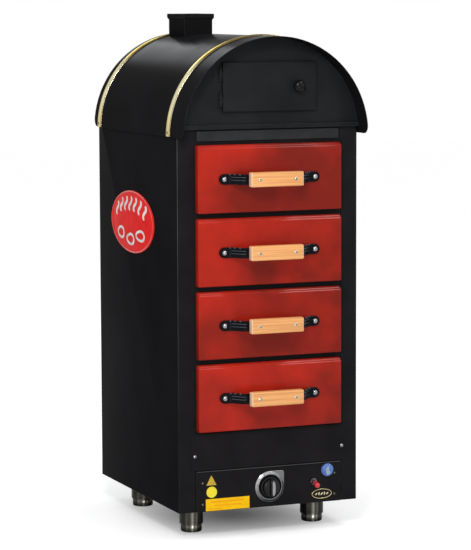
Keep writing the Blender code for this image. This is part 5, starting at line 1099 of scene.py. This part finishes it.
def legs():
    """Steel feet with a turned step and a groove, and steel tubes over the base pan's welded sleeves."""
    tread = [(0.0, 0.0), (0.0222, 0.0), (0.024, 0.0008), (0.025, 0.003), (0.025, 0.015), (0.0247, 0.0156),
             (0.0247, 0.0164), (0.025, 0.017), (0.0246, 0.0185), (0.0238, 0.0187), (0.006, 0.0187),
             (0.006, 0.0527), (0.0, 0.0527)]
    sleeve = [(0.0279, 0.0645), (0.0279, 0.02), (0.0276, 0.0192), (0.0262, 0.019), (0.0262, 0.0196)]
    for number, (x, depth) in enumerate(FEET, 1):
        for name, profile, body in (("leg_sleeve_%d" % number, sleeve, "case"),
                                    ("levelling_foot_%d" % number, tread, "foot_%d" % number)):
            tube = turned(profile, (x, FRONT + depth, 0.0), (0, 0, 1), 64)
            placed(name, tube, TURNED_STEEL, "brushed_steel", body)


def with_lighter_front_faces(piece):
    """Gives the lighter front coat to faces that look to the front: painted light on a copy of the black
    coat.
    """
    piece.data.materials.append(FRONT_COAT)
    for face in piece.data.polygons:
        if face.normal.y < -0.7:
            face.material_index = 1


def plain_parts():
    """CAD pieces whose shape is right: a finish and eased edges for each."""
    for finish, slot, edge, nodes in (
            (BLACK_COAT, "black_coat", 0.0005, "rear_panel base_pan gable_rear"),
            (FRONT_COAT, "black_coat", 0.0005, "front_frame lower_panel control_panel"),
            (FASCIA_COAT, "black_coat", 0.0005, "fascia_panel"),
            (GABLE_COAT, "black_coat", 0.0005, "gable_front"),
            (GABLE_COAT, "black_coat", 0.0003, "gable_hinge_lower gable_hinge_upper"),
            (FRONT_COAT, "black_coat", 0.0002, "gable_hinge_pin_lower gable_hinge_pin_upper"),
            (GALVANISED, "galvanised", 0.0003, "bottom_deck oven_liner top_compartment"),
            (GALVANISED, "galvanised", 0.0003, "drawer_runners_left drawer_runners_right"),
            (WOOL, "mineral_wool", 0.0003, "insulation_blanket"),
            (DARK_STEEL, "bright_steel", 0.0003, "heating_element"),
            (BLACK_PLASTIC, "black_plastic", 0.0003, "thermostat_body toggle_switch_body"),
            (BLACK_PLASTIC, "black_plastic", 0.0003, "pilot_lamp_body cable_gland"),
            (CERAMIC, "ceramic", 0.0003, "terminal_block")):
        for node in nodes.split():
            eased(node, finish, slot, edge)
    # Painted light: the front-looking faces of the side panels and chimney take the lighter front coat.
    for node in ("side_panel_left", "side_panel_right", "chimney"):
        with_lighter_front_faces(eased(node, BLACK_COAT, "black_coat", 0.0006))
    eased("gable_door", GABLE_COAT, "black_coat", 0.0006, "gable_door", 50)


plain_parts()
roof_sheet()
roof_strip("roof_trim_strip_front")
roof_strip("roof_trim_strip_rear")
gable_knob()
for drawer_number in (1, 2, 3, 4):
    drawer(drawer_number)
thermostat()
toggle()
pilot_lamp()
badge()
labels()
panel_lip()
corner_edges()
panel_screws()
side_plate()
legs()


# Floor, light and camera

def floor():
    """A pale floor that keeps the object's shadow, deepened by a painted shadow, and looks white away from
    it.
    """
    mesh = bpy.data.meshes.new("floor")
    size = 14.0
    mesh.from_pydata([(x, y, 0) for x, y in box_points(-size, size, -size, size)], [], [(0, 1, 2, 3)])
    ground = in_scene("floor", mesh)
    finish, tree = new_finish("pale floor", Roughness=0.9, Specular_IOR_Level=0.0,
                              Base_Color=(0.86, 0.86, 0.87, 1.0), Emission_Color=(1.0, 1.0, 1.0, 1.0))
    away = vector_maths("LENGTH", place_of(tree))["Value"]
    # Painted shadow: the glow seen by the camera grows from low near the object to full away from it.
    ring = spread(away, 0.05, 0.39, 0.0, 0.3, interpolation_type="SMOOTHSTEP")
    seen = add(tree, "ShaderNodeLightPath").outputs["Is Camera Ray"]
    give(tree.nodes["Principled BSDF"].inputs["Emission Strength"], maths("MULTIPLY", seen, ring))
    mesh.materials.append(finish)


def lamp(name, place, aim, size, power, colour=(1.0, 1.0, 1.0)):
    """A soft lamp that the camera doesn't see."""
    data = bpy.data.lights.new(name, "AREA")
    data.shape = "RECTANGLE"
    data.size, data.size_y = size
    data.energy = power
    data.color = colour
    item = in_scene(name, data)
    item.location = place
    item.rotation_euler = (Vector(aim) - Vector(place)).to_track_quat("-Z", "Y").to_euler()
    item.visible_camera = False


def studio():
    """A plain world, white where the camera, gloss or glass shows it, and four soft lamps."""
    world = bpy.data.worlds.new("studio")
    bpy.context.scene.world = world
    world.use_nodes = True
    tree = world.node_tree
    tree.nodes.clear()
    rays = add(tree, "ShaderNodeLightPath").outputs
    shown = maths("MAXIMUM", rays["Is Camera Ray"], rays["Is Glossy Ray"])
    shown = maths("MAXIMUM", shown, rays["Is Transmission Ray"])
    background = add(tree, "ShaderNodeBackground", {"Color": (1.0, 1.0, 1.0, 1.0),
                                                    "Strength": spread(shown, 0.7, 1.0)})
    add(tree, "ShaderNodeOutputWorld", {"Surface": background.outputs["Background"]})
    lamp("key softbox", (-1.2, -2.2, 2.2), (0.0, -0.3, 0.6), (0.6, 0.6), 28)
    lamp("low front strip", (-0.45, -3.2, 0.3), (0.0, -0.2, 0.1), (0.22, 0.55), 7)
    lamp("top softbox", (1.2, -1.05, 2.9), (0.1, -0.3, 0.6), (0.6, 0.5), 12)
    lamp("back softbox", (0.31, 4.0, 2.6), (0.0, 0.0, 1.13), (1.05, 0.9), 27, (0.93, 0.98, 1.0))


def camera():
    """The photograph's viewpoint."""
    data = bpy.data.cameras.new("camera")
    data.lens = 164.7
    data.sensor_width = 36.0
    data.sensor_fit = "AUTO"
    data.clip_end = 100.0
    item = in_scene("camera", data)
    item.location = at(-2.268, -5.324, 1.187)
    heading, pitch, roll = radians(-22.32), radians(90 - 6.34), radians(-0.207)
    turn = Matrix.Rotation(heading, 4, "Z") @ Matrix.Rotation(pitch, 4, "X") @ Matrix.Rotation(roll, 4, "Z")
    item.rotation_euler = turn.to_euler()
    bpy.context.scene.camera = item


floor()
studio()
camera()
bpy.context.scene.view_settings.view_transform = "Standard"
